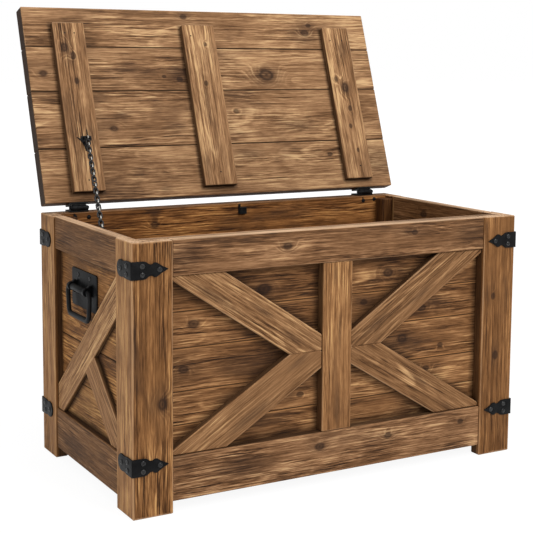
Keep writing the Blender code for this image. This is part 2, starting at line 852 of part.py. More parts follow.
def lift_handle(side, iron):
    """Back plate with two ears, and the bail that swings in them."""
    x_sign = -1 if side == "left" else 1
    out = Vector((x_sign, 0, 0))
    panel_x = x_sign * (half_length - board_thickness + side_panel_thickness + fit_gap)
    plate_x = panel_x + x_sign * handle_plate_thickness
    rear = front_y + chest_depth - post_side_width - handle_to_rear_post
    front = rear - handle_plate_width
    top = opening_high - handle_plate_drop
    low = plate_low
    middle_y = (front + rear) / 2
    axis_x = panel_x + x_sign * handle_pivot_stand
    axis_z = top - handle_pivot_drop
    r = handle_plate_corner
    outline = (
        arc_points((rear - r, top - r), r, 0, 90, corner_turn_steps)
        + arc_points((front + r, top - r), r, 90, 180, corner_turn_steps)
        + arc_points((front + r, low + r), r, 180, 270, corner_turn_steps)
        + arc_points((rear - r, low + r), r, 270, 360, corner_turn_steps)
    )
    ends = sorted((panel_x, plate_x))
    plate = make_object(f"{side}_handle_plate", lambda bm: add_prism(bm, outline, "X", *ends), iron)
    additions, bores = [], []
    overrun = screw_head_height
    for y_sign in (-1, 1):
        ear_y = middle_y + y_sign * (bail_width / 2 - ear_inset)
        span = (ear_y - ear_width / 2, ear_y + ear_width / 2)
        ring = [
            (axis_x + ear_radius * math.cos(math.tau * (k + 0.5) / round_sides),
             axis_z + ear_radius * math.sin(math.tau * (k + 0.5) / round_sides))
            for k in range(round_sides)
        ]
        stem_x = sorted((plate_x - x_sign * head_sink, axis_x - x_sign * ear_bore_radius))
        stem_z = (axis_z - ear_radius * 0.9, axis_z + ear_radius * 0.9)
        additions.append(lambda bm, s=span: add_prism(bm, [(a, b) for a, b in ring], "Y", *s))
        additions.append(lambda bm, s=span: add_box(bm, stem_x, s, stem_z))
        bore_at = Vector((axis_x, span[0] - overrun, axis_z))
        bore = [(0, ear_bore_radius), (ear_width + overrun * 2, ear_bore_radius)]
        bores.append(lambda bm, p=bore_at, b=bore: add_round(bm, p, Vector((0, 1, 0)), b, round_sides))
        screw = Vector((plate_x, middle_y + y_sign * (handle_plate_width / 2 - handle_screw_inset),
                        top - handle_screw_drop))
        additions.append(
            lambda bm, p=screw: add_head(bm, p, out, screw_head_radius, screw_head_height)
        )
    fuse(plate, additions)
    fuse(plate, bores, "DIFFERENCE")

    # The bail is a closed rounded loop that hangs from its top bar and narrows downward
    c = bail_corner
    high, deep = 0.0, -(bail_height - bail_radius * 2)
    wide = bail_width / 2 - bail_radius - c
    narrow = bail_low_width / 2 - bail_radius - c
    lean = math.degrees(math.atan((wide - narrow) / (high - deep - c * 2)))
    loop = (
        arc_points((wide, high - c), c, -lean, 90, bail_turn_steps)
        + arc_points((-wide, high - c), c, 90, 180 + lean, bail_turn_steps)
        + arc_points((-narrow, deep + c), c, 180 + lean, 270, bail_turn_steps)
        + arc_points((narrow, deep + c), c, 270, 360 - lean, bail_turn_steps)
    )
    axis_at = Vector((axis_x, middle_y, axis_z))
    points = [axis_at + Vector((0, a, b)) for a, b in loop]
    bail = make_object(
        f"{side}_handle_bail",
        lambda bm: add_tube(bm, points, bail_radius, wire_sides + 2, True, out),
        iron,
        pivot=axis_at,
    )
    r, length = bail_sleeve_radius, bail_sleeve_length
    sleeve = [(0, r * 0.8), (r * 0.2, r), (length - r * 0.2, r), (length, r * 0.8)]
    sleeve_at = Vector((axis_x, middle_y - length / 2, axis_z))
    fuse(bail, [lambda bm: add_round(bm, sleeve_at, Vector((0, 1, 0)), sleeve, round_sides)])


# Lid chain

def chain_ends():
    """Where the chain hangs on the wall stud and on the lid's staple, with the lid open."""
    anchor = at(-half_length + board_thickness + chain_anchor_stand, chain_anchor_depth,
                chest_height - chain_anchor_drop)
    eye = turned(
        lid_rear - chain_eye_along_lid,
        lid_underside - fit_gap - batten_thickness - chain_eye_stand,
        lid_open_angle,
    )
    staple = at(-half_length + chain_eye_across, pin_y + eye[0], pin_z + eye[1])
    return anchor, staple


def link_points(start, run, flat, inner_length):
    """One link's wire: an oval whose ends lie at start and start + run * inner_length."""
    radius = chain_link_inner_half + chain_wire_radius
    across = flat.cross(run).normalized()
    near = start + run * (radius - chain_wire_radius)
    far = start + run * (inner_length - radius + chain_wire_radius)
    points = []
    for i in range(link_turn_steps + 1):
        turn = math.pi * (i / link_turn_steps) - math.pi / 2
        points.append(far + (run * math.cos(turn) + across * math.sin(turn)) * radius)
    for i in range(link_turn_steps + 1):
        turn = math.pi * (i / link_turn_steps) + math.pi / 2
        points.append(near + (run * math.cos(turn) + across * math.sin(turn)) * radius)
    return points


def chain_half(name, start, end, iron):
    """Twelve links from a fitting to the middle of the chain, pressed into one stiff piece."""
    run = (end - start).normalized()
    sideways = (Vector((1, 0, 0)) - run * run.x).normalized()
    crossways = run.cross(sideways).normalized()
    first = start - run * chain_link_inner_half
    # The first link hangs on its fitting; each next one bites a little into the one before it
    reach = (end - start).length - chain_middle_gap / 2 + chain_link_inner_half
    pitch = (reach - chain_wire_radius * 2 + chain_link_bite) / chain_links_per_half
    inner = pitch - chain_link_bite
    makers = []
    for i in range(chain_links_per_half):
        flat = sideways if i % 2 == 0 else crossways
        origin = first + run * (pitch * i)
        points = link_points(origin, run, flat, inner)
        makers.append(
            lambda bm, p=points, f=flat: add_tube(bm, p, chain_wire_radius, wire_sides, True, f)
        )
    half = make_object(name, makers[0], iron)
    fuse(half, makers[1:])
    half.data.transform(Matrix.Translation(-start))
    half.location = start
    return half


def lid_chain(iron):
    """Wall stud, batten staple and the two chain halves between them."""
    anchor, staple = chain_ends()
    middle = (anchor + staple) / 2
    wall_x = -half_length + board_thickness + fit_gap

    # Stud plate on the inner face of the left side
    y_span = (anchor.y - anchor_plate_width / 2, anchor.y + anchor_plate_width / 2)
    z_high = chest_height - anchor_plate_drop
    plate = make_object(
        "chain_wall_stud",
        lambda bm: add_box(
            bm, (wall_x, wall_x + strap_thickness), y_span, (z_high - anchor_plate_height, z_high)
        ),
        iron,
    )
    tip = anchor.x + chain_link_inner_half + fit_gap - wall_x
    stud = [
        (strap_thickness - head_sink, stud_radius),
        (tip, stud_radius),
        (tip, stud_head_radius),
        (tip + stud_head_length, stud_head_radius),
    ]
    base = Vector((wall_x, anchor.y, anchor.z))
    fuse(plate, [lambda bm: add_round(bm, base, Vector((1, 0, 0)), stud, round_sides)])

    # Staple on the left batten, drawn in the closed lid's frame
    x_mid = staple.x
    face = lid_underside - fit_gap - batten_thickness - fit_gap
    y_mid = lid_rear - chain_eye_along_lid
    bar_z = lid_underside - fit_gap - batten_thickness - chain_eye_stand
    pivot = bpy.data.objects["lid_pivot"]
    x_half, y_half = staple_plate_width / 2, staple_plate_height / 2
    bracket = make_object(
        "chain_lid_staple",
        lambda bm: add_box(
            bm,
            (x_mid - x_half, x_mid + x_half),
            (y_mid - y_half, y_mid + y_half),
            (face - strap_thickness, face),
        ),
        iron,
    )
    legs = []
    for x_sign in (-1, 1):
        inner_x = x_mid + x_sign * staple_opening / 2
        leg_x = sorted((inner_x, inner_x + x_sign * staple_leg))
        leg_y = (y_mid - stud_radius * 1.4, y_mid + stud_radius * 1.4)
        leg_z = (bar_z - stud_radius * 1.4, face - head_sink)
        legs.append(lambda bm, x=leg_x: add_box(bm, x, leg_y, leg_z))
    bar_start = Vector((x_mid - staple_opening / 2 - staple_leg / 2, y_mid, bar_z))
    bar = [(0, stud_radius), (staple_opening + staple_leg, stud_radius)]
    legs.append(lambda bm: add_round(bm, bar_start, Vector((1, 0, 0)), bar, round_sides))
    fuse(bracket, legs)
    bracket.parent = pivot

    chain_half("chain_lower_half", anchor, middle, iron)
    chain_half("chain_upper_half", staple, middle, iron)


def rear_catch(iron):
    """Small iron catch on the inner face of the rear wall."""
    wall_y = front_y + chest_depth - rim_front - fit_gap
    x_mid = -half_length + catch_across
    z_mid = chest_height - catch_drop
    half_w, half_h = catch_width / 2, catch_height / 2
    catch = make_object(
        "rear_wall_catch",
        lambda bm: add_box(
            bm,
            (x_mid - half_w, x_mid + half_w),
            (wall_y - catch_depth, wall_y),
            (z_mid - half_h, z_mid + half_h),
        ),
        iron,
    )
    bar_x = (x_mid - half_w - catch_bar_width / 2, x_mid - half_w + catch_bar_width / 2)
    bar_z = (z_mid + half_h - catch_bar_height / 2, z_mid + half_h + catch_bar_height / 4)
    ease_edges(catch, edge_ease_small)
    fuse(catch, [lambda bm: add_box(bm, bar_x, (wall_y - catch_bar_depth, wall_y), bar_z)])


def main():
    clear_scene()
    walnut = make_material("walnut_stained_pine", (0.20, 0.10, 0.05), 0.6)
    light = make_material("worn_brace_pine", (0.27, 0.15, 0.08), 0.6)
    dark = make_material("dark_panel_pine", (0.13, 0.07, 0.04), 0.65)
    black = make_material("black_iron", (0.02, 0.02, 0.022), 0.5, 0.8)
    for row in ("front", "rear"):
        for side in ("left", "right"):
            corner_post(row, side, walnut)
    rail_boards(walnut)
    front_frame(light)
    side_frame(light)
    front_planks(dark)
    panel_walls(dark)
    chest_floor(dark)
    pivot = lid_pivot_empty()
    lid_boards(walnut, pivot)
    for side in ("left", "right"):
        hinge_set(side, black, pivot)
        lift_handle(side, black)
    for row in ("front", "rear"):
        for side in ("left", "right"):
            for level in ("upper", "lower"):
                corner_strap(row, side, level, black)
    lid_chain(black)
    rear_catch(black)


main()
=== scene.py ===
import functools
import json
import math
import random

import bmesh
import bpy
from mathutils import Matrix, Vector


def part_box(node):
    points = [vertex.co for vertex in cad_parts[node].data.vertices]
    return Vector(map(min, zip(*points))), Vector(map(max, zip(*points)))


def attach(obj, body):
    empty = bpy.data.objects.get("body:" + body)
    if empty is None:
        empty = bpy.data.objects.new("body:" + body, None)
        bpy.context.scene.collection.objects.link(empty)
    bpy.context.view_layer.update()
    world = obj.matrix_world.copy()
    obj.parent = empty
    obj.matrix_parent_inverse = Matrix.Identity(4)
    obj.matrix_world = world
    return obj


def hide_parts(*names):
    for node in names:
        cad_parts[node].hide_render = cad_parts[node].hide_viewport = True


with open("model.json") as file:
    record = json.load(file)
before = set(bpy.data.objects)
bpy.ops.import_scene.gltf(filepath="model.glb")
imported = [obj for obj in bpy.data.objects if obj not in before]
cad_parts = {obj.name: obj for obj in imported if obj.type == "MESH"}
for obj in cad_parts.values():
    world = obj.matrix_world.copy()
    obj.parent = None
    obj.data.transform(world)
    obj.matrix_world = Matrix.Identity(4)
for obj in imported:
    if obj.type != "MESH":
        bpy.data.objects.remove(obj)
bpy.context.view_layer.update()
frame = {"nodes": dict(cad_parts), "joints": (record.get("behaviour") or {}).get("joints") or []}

nodes = frame["nodes"]
mm = 0.001
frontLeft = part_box("corner_post_front_left")[0]
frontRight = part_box("corner_post_front_right")[1]
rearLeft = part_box("corner_post_rear_left")[1]
frontFace, rearFace = frontLeft.y, rearLeft.y
leftFace, rightFace = frontLeft.x, frontRight.x
rimHeight = frontRight.z
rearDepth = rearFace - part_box("rear_wall")[0].y
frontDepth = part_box("front_plank_1")[1].y - frontFace
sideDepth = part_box("left_panel")[1].x - leftFace
print("frame loaded:", len(nodes), "solids")


# shader sums written as plain expressions

def operator(operation, swapped=False):
    def apply(self, other):
        return self.finish.calc(operation, *((other, self) if swapped else (self, other)))
    return apply


class Wire:  # a value, colour or vector on its way through a material
    def __init__(self, finish, socket):
        self.finish = finish
        self.socket = socket

    def __abs__(self):
        return self.finish.calc("ABSOLUTE", self)

    __add__, __radd__ = operator("ADD"), operator("ADD", True)
    __sub__, __rsub__ = operator("SUBTRACT"), operator("SUBTRACT", True)
    __mul__, __rmul__ = operator("MULTIPLY"), operator("MULTIPLY", True)
    __pow__ = operator("POWER")
    atLeast, atMost = operator("MAXIMUM"), operator("MINIMUM")


class Finish:  # a material, or the world, while its nodes are laid out
    def __init__(self, owner):
        owner.use_nodes = True
        self.owner = owner
        self.tree = owner.node_tree
        self.tree.nodes.clear()

    def add(self, kind, settings=None, inputs=(), output=0):
        node = self.tree.nodes.new(kind)
        for name, value in (settings or {}).items():
            if name == "stops":
                fillRamp(node.color_ramp, value)
            else:
                setattr(node, name, value)
        for name, value in inputs.items() if isinstance(inputs, dict) else enumerate(inputs):
            if isinstance(value, Wire):
                self.tree.links.new(value.socket, node.inputs[name])
            else:
                node.inputs[name].default_value = value
        if isinstance(output, tuple):
            return [Wire(self, node.outputs[which]) for which in output]
        return None if output is None else Wire(self, node.outputs[output])

    def place(self):
        return self.add("ShaderNodeTexCoord", output="Object")

    def split(self, vector, *axes):
        return self.add("ShaderNodeSeparateXYZ", None, [vector], axes if len(axes) > 1 else axes[0])

    def dot(self, vector, axis):
        return self.add("ShaderNodeVectorMath", {"operation": "DOT_PRODUCT"}, [vector, axis], "Value")

    def stretch(self, vector, scales, shift):
        return self.add("ShaderNodeVectorMath", {"operation": "MULTIPLY_ADD"}, [vector, scales, shift])

    def noise(self, vector, scale, detail=2.0, rough=0.5, output=0):
        inputs = {"Vector": vector, "Scale": scale, "Detail": detail, "Roughness": rough}
        return self.add("ShaderNodeTexNoise", None, inputs, output)

    def grain(self, vector, pattern, output=0):
        along, across, shift, detail, rough, *span = grainPatterns[pattern]
        place = self.stretch(vector, (along, across, across), shift)
        value = self.noise(place, 1.0, detail, rough, output)
        return self.fade(value, *span) if span else value

    def calc(self, operation, *values):
        return self.add("ShaderNodeMath", {"operation": operation}, values)

    def fade(self, value, start, end, low=0.0, high=1.0):
        inputs = [value, start, end, low, high]
        return self.add("ShaderNodeMapRange", {"interpolation_type": "SMOOTHSTEP"}, inputs)

    def mix(self, share, first, second, how="MIX"):
        inputs = {0: share, 6: first, 7: second}
        return self.add("ShaderNodeMix", {"data_type": "RGBA", "blend_type": how}, inputs, 2)

    def bump(self, height, distance, strength):
        inputs = {"Strength": strength, "Distance": distance, "Height": height}
        return self.add("ShaderNodeBump", None, inputs)

    def done(self, inputs):
        shader = self.add("ShaderNodeBsdfPrincipled", None, inputs)
        self.add("ShaderNodeOutputMaterial", None, {"Surface": shader}, None)
        return self.owner


def fillRamp(ramp, colours):  # at even steps
    while len(ramp.elements) < len(colours):
        ramp.elements.new(0.5)
    for i, colour in enumerate(colours):
        ramp.elements[i].position = i / (len(colours) - 1)
        ramp.elements[i].color = colour


def tint(red, green, blue):  # 0..255 as seen on a screen, to a linear colour
    def linear(value):
        share = value / 255
        return share / 12.92 if share <= 0.04045 else ((share + 0.055) / 1.055) ** 2.4
    return (linear(red), linear(green), linear(blue), 1.0)


# wood

woodLook = {
    "stops": [
        tint(34, 19, 8), tint(74, 47, 25), tint(112, 77, 46), tint(144, 104, 69), tint(178, 135, 93),
        tint(207, 166, 117),
    ],
    "wornColour": tint(196, 155, 115),
    "wornPlankColour": tint(204, 145, 90),
    # the pale top rim: bare worn wood with painted light from above
    "rimWornAndLitColour": tint(206, 171, 137),
    # painted shade inside the chest: on the boards' inner faces, and darker on the posts' inner faces
    "insideShadeCast": (1.0, 0.78, 0.44, 1),
    "cornerShadeCast": (0.30, 0.25, 0.19, 1),
    "returnCast": (1.0, 1.05, 1.18, 1),
    "knotColour": tint(40, 25, 17),
    "smudgeColour": tint(64, 43, 28),
    "smokeColour": tint(90, 67, 49),
    # dark colour of the joints, also used for the painted shade
    "seamAndShadeColour": tint(38, 23, 13),
    "endColour": tint(48, 35, 27),
    "roughness": 0.66,
    "specular": 0.14,
    "relief": 0.8 * mm,
    "reliefStrength": 0.6,
    "rimSpan": (0.998, 0.9996),
    "rimFade": (1.2 * mm, 4.0 * mm, 0.94, 0.66),
    "endFade": (0.3 * mm, 0.9 * mm, 0.85, 0.0),
    "seamFade": (0.6 * mm, 1.9 * mm, 0.8, 0.0),
    "backFade": (0.2 * mm, 0.8 * mm),
    "sunkFade": (1.3 * mm, 5 * mm, 0.0, 0.72),
    "sunkPostFade": (3 * mm, 9 * mm, 0.0, 0.7),
    "postThickness": 23.4 * mm,
    "returnSpan": (2.2 * mm, 1.4 * mm),
    "insideSpan": (-0.9 * mm, -0.3 * mm),
    # painted shade near the frame and beside the battens: its reach, and its strength on the front and on
    # the sides
    "shadeReach": 15 * mm,
    "cornerShadeShare": 0.5,
    "sidePanelShadeShare": 0.85,
    "pith": (24 * mm, 50 * mm),
    "slope": (0.03, 0.07),
    "sway": (0.010, 0.018, 0.016),
    "ringFades": ((0.25, 0.8), (0.86, 1.0, 1.0, 0.0)),
    "ringPatch": (12.0, 0.9),
    "patchFade": (0.42, 0.7),
    "fleckFade": (0.5, 0.68),
}

# colour cast, tone, ring width, strength of rings, lines and clouds, bend of the grain,
# width and strength of the worn edges, strength of the pale rim (wear with painted top light)
kindFields = ("cast", "tone", "ring", "force", "line", "cloud", "bend", "wear", "worn", "rim")
kindRows = {
    "post": ((0.99, 0.90, 0.72, 1), -0.02, 4.6 * mm, 0.95, 0.95, 0.7, 0.5, 2.8 * mm, 0.55, 1.0),
    "rail": ((0.98, 0.98, 1.03, 1), -0.02, 4.4 * mm, 0.9, 0.7, 0.85, 0.7, 1.6 * mm, 0.4, 1.0),
    "sideRail": ((0.95, 0.96, 0.96, 1), -0.06, 4.6 * mm, 0.8, 0.7, 0.6, 0.7, 1.8 * mm, 0.35, 0.95),
    "stile": ((1.0, 0.93, 0.80, 1), 0.13, 4.0 * mm, 0.8, 1.2, 0.5, 0.35, 2.0 * mm, 0.5, 0),
    "brace": ((0.99, 0.99, 0.97, 1), 0.05, 4.4 * mm, 1.0, 1.4, 0.35, 0.3, 2.2 * mm, 0.6, 0),
    "plank": ((1.02, 0.96, 0.87, 1), -0.02, 4.6 * mm, 1.05, 0.7, 0.85, 0.8, 3.2 * mm, 0.7, 0.6),
    "lid": ((1.0, 1.04, 1.10, 1), 0.05, 5.0 * mm, 1.05, 0.75, 0.95, 0.7, 1.4 * mm, 0.4, 0),
    "batten": ((1.01, 1.03, 1.05, 1), 0.14, 4.2 * mm, 0.95, 1.1, 0.9, 0.4, 2.0 * mm, 0.55, 0),
    "inner": ((1.10, 0.92, 0.62, 1), 0.01, 4.8 * mm, 1.0, 0.6, 1.2, 0.9, 1.2 * mm, 0.2, 0.1),
}
woodKinds = {kind: dict(zip(kindFields, row)) for kind, row in kindRows.items()}

# noise along a board: cells in a metre along and across the grain, shift, detail, roughness, and
# the fade laid over it
grainPatterns = {
    "bend": (5.5, 18.0, (0, 0, 0), 2.0, 0.5),
    "fibre": (5.0, 400.0, (0, 0, 0), 5.0, 0.68),
    "line": (2.6, 320.0, (7, 2, 8), 3.0, 0.65),
    "band": (2.4, 80.0, (4, 8, 2), 3.0, 0.6),
    "dash": (21.0, 380.0, (2, 6, 3), 3.0, 0.7),
    "hair": (32.0, 900.0, (0, 0, 0), 2.0, 0.7),
    "cloud": (6.0, 15.0, (9, 9, 9), 4.0, 0.55),
    "dark": (5.5, 220.0, (3, 5, 1), 4.0, 0.68, 0.52, 0.68),
    "smoke": (7.0, 15.0, (1, 7, 4), 4.0, 0.6, 0.5, 0.72),
    "lively": (5.0, 26.0, (5, 3, 8), 2.0, 0.5, 0.36, 0.64, 0.5, 1.4),
}

# how far each pattern moves the tone
grainWeights = {
    "base": 0.43, "ridge": 0.28, "fleck": 0.24, "dark": 0.24, "everyLine": 0.35, "line": 0.6, "dash": 1.1,
    "band": 0.5, "hair": 0.7, "smoke": 0.14, "towardRight": 0.13, "returnBoard": 0.2, "gluedBoard": 0.22,
    "anyBoard": 0.03,
}

knotLook = {
    "haloFade": (0.5, 4.2, 1.0, 0.0), "coreFade": (0.9, 1.45, 1.0, 0.0),
    "collarFades": ((1.2, 1.6), (1.7, 3.4, 1.0, 0.0)),
    "oval": 1.4, "ripple": 0.9, "fray": 0.5, "push": 1.9 * mm, "smallest": 4.5, "grownBy": 5,
    "rings": 7.9, "core": 0.42, "ringShare": 0.34,
}

panelCast = (1.02, 0.91, 0.66, 1)

# boards whose rim, worn and painted with top light, is paler or darker than their kind's
rimShares = {
    "rear_top_rail": 0.1, "rear_wall": 0.1, "corner_post_rear_left": 0.7, "corner_post_rear_right": 0.5,
}


@functools.lru_cache(maxsize=None)
def boardFrame(name):  # centre, rotation and half sizes of a board, grain along its first axis
    mesh = bmesh.new()
    mesh.from_mesh(nodes[name].data)
    bmesh.ops.remove_doubles(mesh, verts=mesh.verts, dist=0.01 * mm)
    bmesh.ops.dissolve_limit(mesh, angle_limit=math.radians(2), verts=mesh.verts, edges=mesh.edges)
    grain = max((e.verts[1].co - e.verts[0].co for e in mesh.edges), key=lambda run: run.length)
    grain = positive(grain.normalized())
    face = max(mesh.faces, key=lambda f: f.calc_area()).normal
    face = (face - grain * face.dot(grain)).normalized()
    across = positive(face.cross(grain).normalized())
    depth = grain.cross(across)
    spans = []
    for axis in (grain, across, depth):
        reach = [axis.dot(v.co) for v in mesh.verts]
        spans.append((min(reach), max(reach)))
    mesh.free()
    centre = sum((axis * (a + b) / 2 for axis, (a, b) in zip((grain, across, depth), spans)), Vector())
    turn = Matrix((grain, across, depth)).transposed()
    return centre, turn, [(b - a) / 2 for a, b in spans]


def positive(direction):
    strongest = max(direction, key=abs)
    return direction if strongest > 0 else -direction


def hypotenuse(a, b):
    return (a * a + b * b) ** 0.5


def ovalReach(along, across, spot, halves):  # 1 on the edge of an oval given in millimetres
    return hypotenuse(
        (along - spot[0] * mm) * (1 / (halves[0] * mm)), (across - spot[1] * mm) * (1 / (halves[1] * mm))
    )


def woodFinish(name, kind, seams, joints, opening):
    look, weights = woodKinds[kind], grainWeights
    ownTone, calm, *spots = boards.get(name, (0.0, 1.0))
    knots = [spot for spot in spots if len(spot) != 4]
    smudges = [spot for spot in spots if len(spot) > 3]
    centre, turn, half = boardFrame(name)
    dice = random.Random(name)
    wood = Finish(bpy.data.materials.new("wood_" + name))
    place = wood.place()
    local = wood.add(
        "ShaderNodeMapping", {"vector_type": "TEXTURE"}, [place, centre, turn.to_euler(), (1, 1, 1)]
    )
    along, across, depth = wood.split(local, "X", "Y", "Z")
    shift = dice.uniform(3, 60)

    # boards that are glued to one panel start their own grain at each seam
    if seams:
        board = sum(wood.calc("GREATER_THAN", across, seam) for seam in seams)
        own = wood.add("ShaderNodeTexWhiteNoise", {"noise_dimensions": "1D"}, {"W": board * 3.7 + shift})
        jumps = [along + shift + board * 0.83, across + shift, depth + own * 0.4]
        moved = wood.add("ShaderNodeCombineXYZ", None, jumps)
        sideways = across + (own - 0.5) * 0.12
    else:
        moved = wood.stretch(local, (1, 1, 1), (shift, shift * 0.7, shift * 0.3))
        sideways = across - dice.uniform(-0.9, 0.9) * half[1]

    # the grain wanders, and the heart of the tree lies somewhere below the board
    bend = wood.grain(moved, "bend", "Color")
    warp, swayAcross, swayDepth = (reach * look["bend"] for reach in woodLook["sway"])
    warped = wood.stretch(bend, (0.0, warp, warp), moved)
    bendAcross, bendDepth = wood.split(bend, "Y", "Z")
    slope = dice.choice((-1, 1)) * dice.uniform(*woodLook["slope"])
    sideways = sideways + (bendAcross - 0.5) * swayAcross
    below = depth + along * slope + dice.uniform(*woodLook["pith"]) + (bendDepth - 0.5) * swayDepth
    radius = hypotenuse(sideways, below)

    # knots push the grain aside; small ones are plain dark spots
    fibre = wood.grain(warped, "fibre")
    knotCore, knotHalo, knotRings = 0.0, 0.0, 0.0
    for knot in knots:
        size = knot[2]
        nearness = ovalReach(along, across, knot, (knotLook["oval"] * size, size))
        nearness = nearness + (bendAcross - 0.5) * knotLook["ripple"] + (fibre - 0.5) * knotLook["fray"]
        halo = wood.fade(nearness, *knotLook["haloFade"])
        radius = radius + halo * halo * (size * knotLook["push"])
        core = wood.fade(nearness, *knotLook["coreFade"])
        rise, fall = (wood.fade(nearness, *fade) for fade in knotLook["collarFades"])
        collar = rise * fall
        knotCore = core.atLeast(knotCore)
        grown = min(1.0, max(0.0, (size - knotLook["smallest"]) / knotLook["grownBy"]))
        knotHalo = (collar * (0.03 + 0.1 * grown) - halo * 0.07) + knotHalo
        rings = wood.calc("COSINE", nearness * knotLook["rings"])
        knotRings = core * (rings * grown + (0.7 - 0.7 * grown)) + knotRings

    # growth rings cut by the board's face, and the fine streaks that lie along them
    turnCount = radius * (1 / look["ring"])
    ringShare = wood.calc("FRACT", turnCount)
    rise, fall = (wood.fade(ringShare, *fade) for fade in woodLook["ringFades"])
    patchAlong, patchAcross = woodLook["ringPatch"]
    patch = [along * patchAlong, turnCount * patchAcross, shift]
    patch = wood.noise(wood.add("ShaderNodeCombineXYZ", None, patch), 1.0, 3.0, 0.6)
    ridge = rise * fall * wood.fade(patch, *woodLook["patchFade"])
    fleck = wood.fade(fibre, *woodLook["fleckFade"])
    line, band, dash, hair = (wood.grain(warped, pattern) for pattern in ("line", "band", "dash", "hair"))
    cloud = wood.grain(moved, "cloud")
    dark = wood.grain(warped, "dark")
    smoke = wood.grain(moved, "smoke")

    # the grain stands out in some places and is quiet in others
    lively = wood.grain(moved, "lively")
    force = look["force"]
    tone = (
        lively * (
            ridge * (weights["ridge"] * force)
            + fleck * (weights["fleck"] * force)
            - dark * (weights["dark"] * force)
            + (line - 0.5) * (weights["everyLine"] + weights["line"] * look["line"])
            + (dash - 0.5) * weights["dash"]
        )
        + (band - 0.5) * (weights["band"] * look["cloud"])
        + (hair - 0.5) * weights["hair"]
        + (cloud - 0.5) * look["cloud"]
        - smoke * (weights["smoke"] * look["cloud"])
    )
    tone = tone * calm + (weights["base"] + look["tone"] + ownTone)
    if seams:
        tone = tone + (own - 0.5) * weights["gluedBoard"]
    else:
        tone = tone + dice.uniform(-weights["anyBoard"], weights["anyBoard"])
    if kind == "lid":  # paler toward its right end
        tone = tone + along * weights["towardRight"]
    if knots:
        tone = tone + knotHalo
    if kind == "post":  # the return board on the chest's side is paler
        start, end = (rightFace - reach for reach in woodLook["returnSpan"])
        onSide = wood.fade(abs(wood.split(place, "X")), start, end)
        tone = tone + onSide * weights["returnBoard"]
    colour = wood.add("ShaderNodeValToRGB", {"stops": woodLook["stops"]}, [tone])
    if kind == "post":
        colour = wood.mix(onSide, colour, wood.mix(1.0, colour, woodLook["returnCast"], "MULTIPLY"))
    colour = wood.mix(1.0, colour, panelCast if name.endswith("_panel") else look["cast"], "MULTIPLY")
    colour = wood.mix(smoke * (0.3 * look["cloud"]), colour, woodLook["smokeColour"])
    if kind in ("post", "plank"):  # painted shade: the chest's inside is darker and warmer, the posts' inner faces darkest
        x, y = wood.split(place, "X", "Y")
        pastEnds = (y - frontFace - frontDepth).atMost(rearFace - y - rearDepth)
        inside = wood.fade((rightFace - abs(x) - sideDepth).atMost(pastEnds), *woodLook["insideSpan"])
        cast = woodLook["cornerShadeCast" if kind == "post" else "insideShadeCast"]
        colour = wood.mix(inside, colour, cast, "MULTIPLY")

    # dark smudges in the stain
    for smudge in smudges:
        spread = ovalReach(along, across, smudge, smudge[-2:]) + (cloud - 0.5) * 2.2
        share = wood.fade(spread, 0.1, 1.35, 0.6, 0.0) * (1.3 - dash * 1.1)
        colour = wood.mix(share, colour, woodLook["smudgeColour"])
    if knots:
        share = knotCore * knotLook["core"] + knotRings * knotLook["ringShare"]
        colour = wood.mix(share, colour, woodLook["knotColour"])

    # pale worn edges: the second smallest distance to the board's six faces
    gapAlong = half[0] - abs(along)
    gapAcross = half[1] - abs(across)
    gapDepth = half[2] - abs(depth)
    edge = gapAlong.atMost(gapAcross).atLeast(gapAlong.atLeast(gapAcross).atMost(gapDepth))
    wear = look["wear"]
    ragged = edge + (fibre - 0.5) * (1.4 * wear) + (cloud - 0.5) * (3.0 * wear)
    worn = wood.fade(ragged, 0.1 * wear, wear, look["worn"], 0.0)
    # the pale top rim: worn bare wood, with painted light on the top faces
    if look["rim"]:
        start, end = (rimHeight * share for share in woodLook["rimSpan"])
        rim = wood.fade(wood.split(place, "Z"), start, end, 0.0, rimShares.get(name, look["rim"]))
        worn = worn * (1 - rim)
    colour = wood.mix(worn, colour, woodLook["wornPlankColour" if kind == "plank" else "wornColour"])
    if look["rim"]:
        bareAndLit = (fibre - 0.5) * 1.3 + (dash - 0.5) * 0.9 + (line - 0.5) * 2.0
        bareAndLit = bareAndLit + (band - 0.5) * 2.2 + (cloud - 0.5) * 0.8
        bareAndLit = rim * (bareAndLit + wood.fade(edge, *woodLook["rimFade"]))
        colour = wood.mix(bareAndLit, colour, woodLook["rimWornAndLitColour"])

    # end grain soaks up more stain
    if kind in ("lid", "batten", "brace"):
        colour = wood.mix(wood.fade(gapAlong, *woodLook["endFade"]), colour, woodLook["endColour"])

    # dark lines where boards meet, with painted shade in the frame's inner corners, on its sunk edges and
    # beside the lid's battens
    shade = sunkShade(wood, kind, place, depth, turn.col[2], centre, half[2])
    for joint in seams + joints:
        gap = abs(across - joint) + (fibre - 0.5) * (0.8 * mm)
        shade = wood.fade(gap, *woodLook["seamFade"]).atLeast(shade)
    # painted shade in a wall's opening, near its frame and braces
    if opening:
        reach = openingDistance(wood, place, centre, opening) + (cloud - 0.5) * 0.018
        shadeShare = woodLook["cornerShadeShare"] if name.startswith("front") else woodLook["sidePanelShadeShare"]
        shade = wood.fade(reach, 0.0, woodLook["shadeReach"], shadeShare, 0.0).atLeast(shade)
    # painted shadow of the battens on the lid's planks
    if kind == "lid":
        reach = battenDistance(wood, place) + (cloud - 0.5) * 0.008
        shadow = wood.fade(reach, 0.0, 0.5 * woodLook["shadeReach"], woodLook["cornerShadeShare"], 0.0)
        shade = shadow.atLeast(shade)
    if isinstance(shade, Wire):
        colour = wood.mix(shade, colour, woodLook["seamAndShadeColour"])

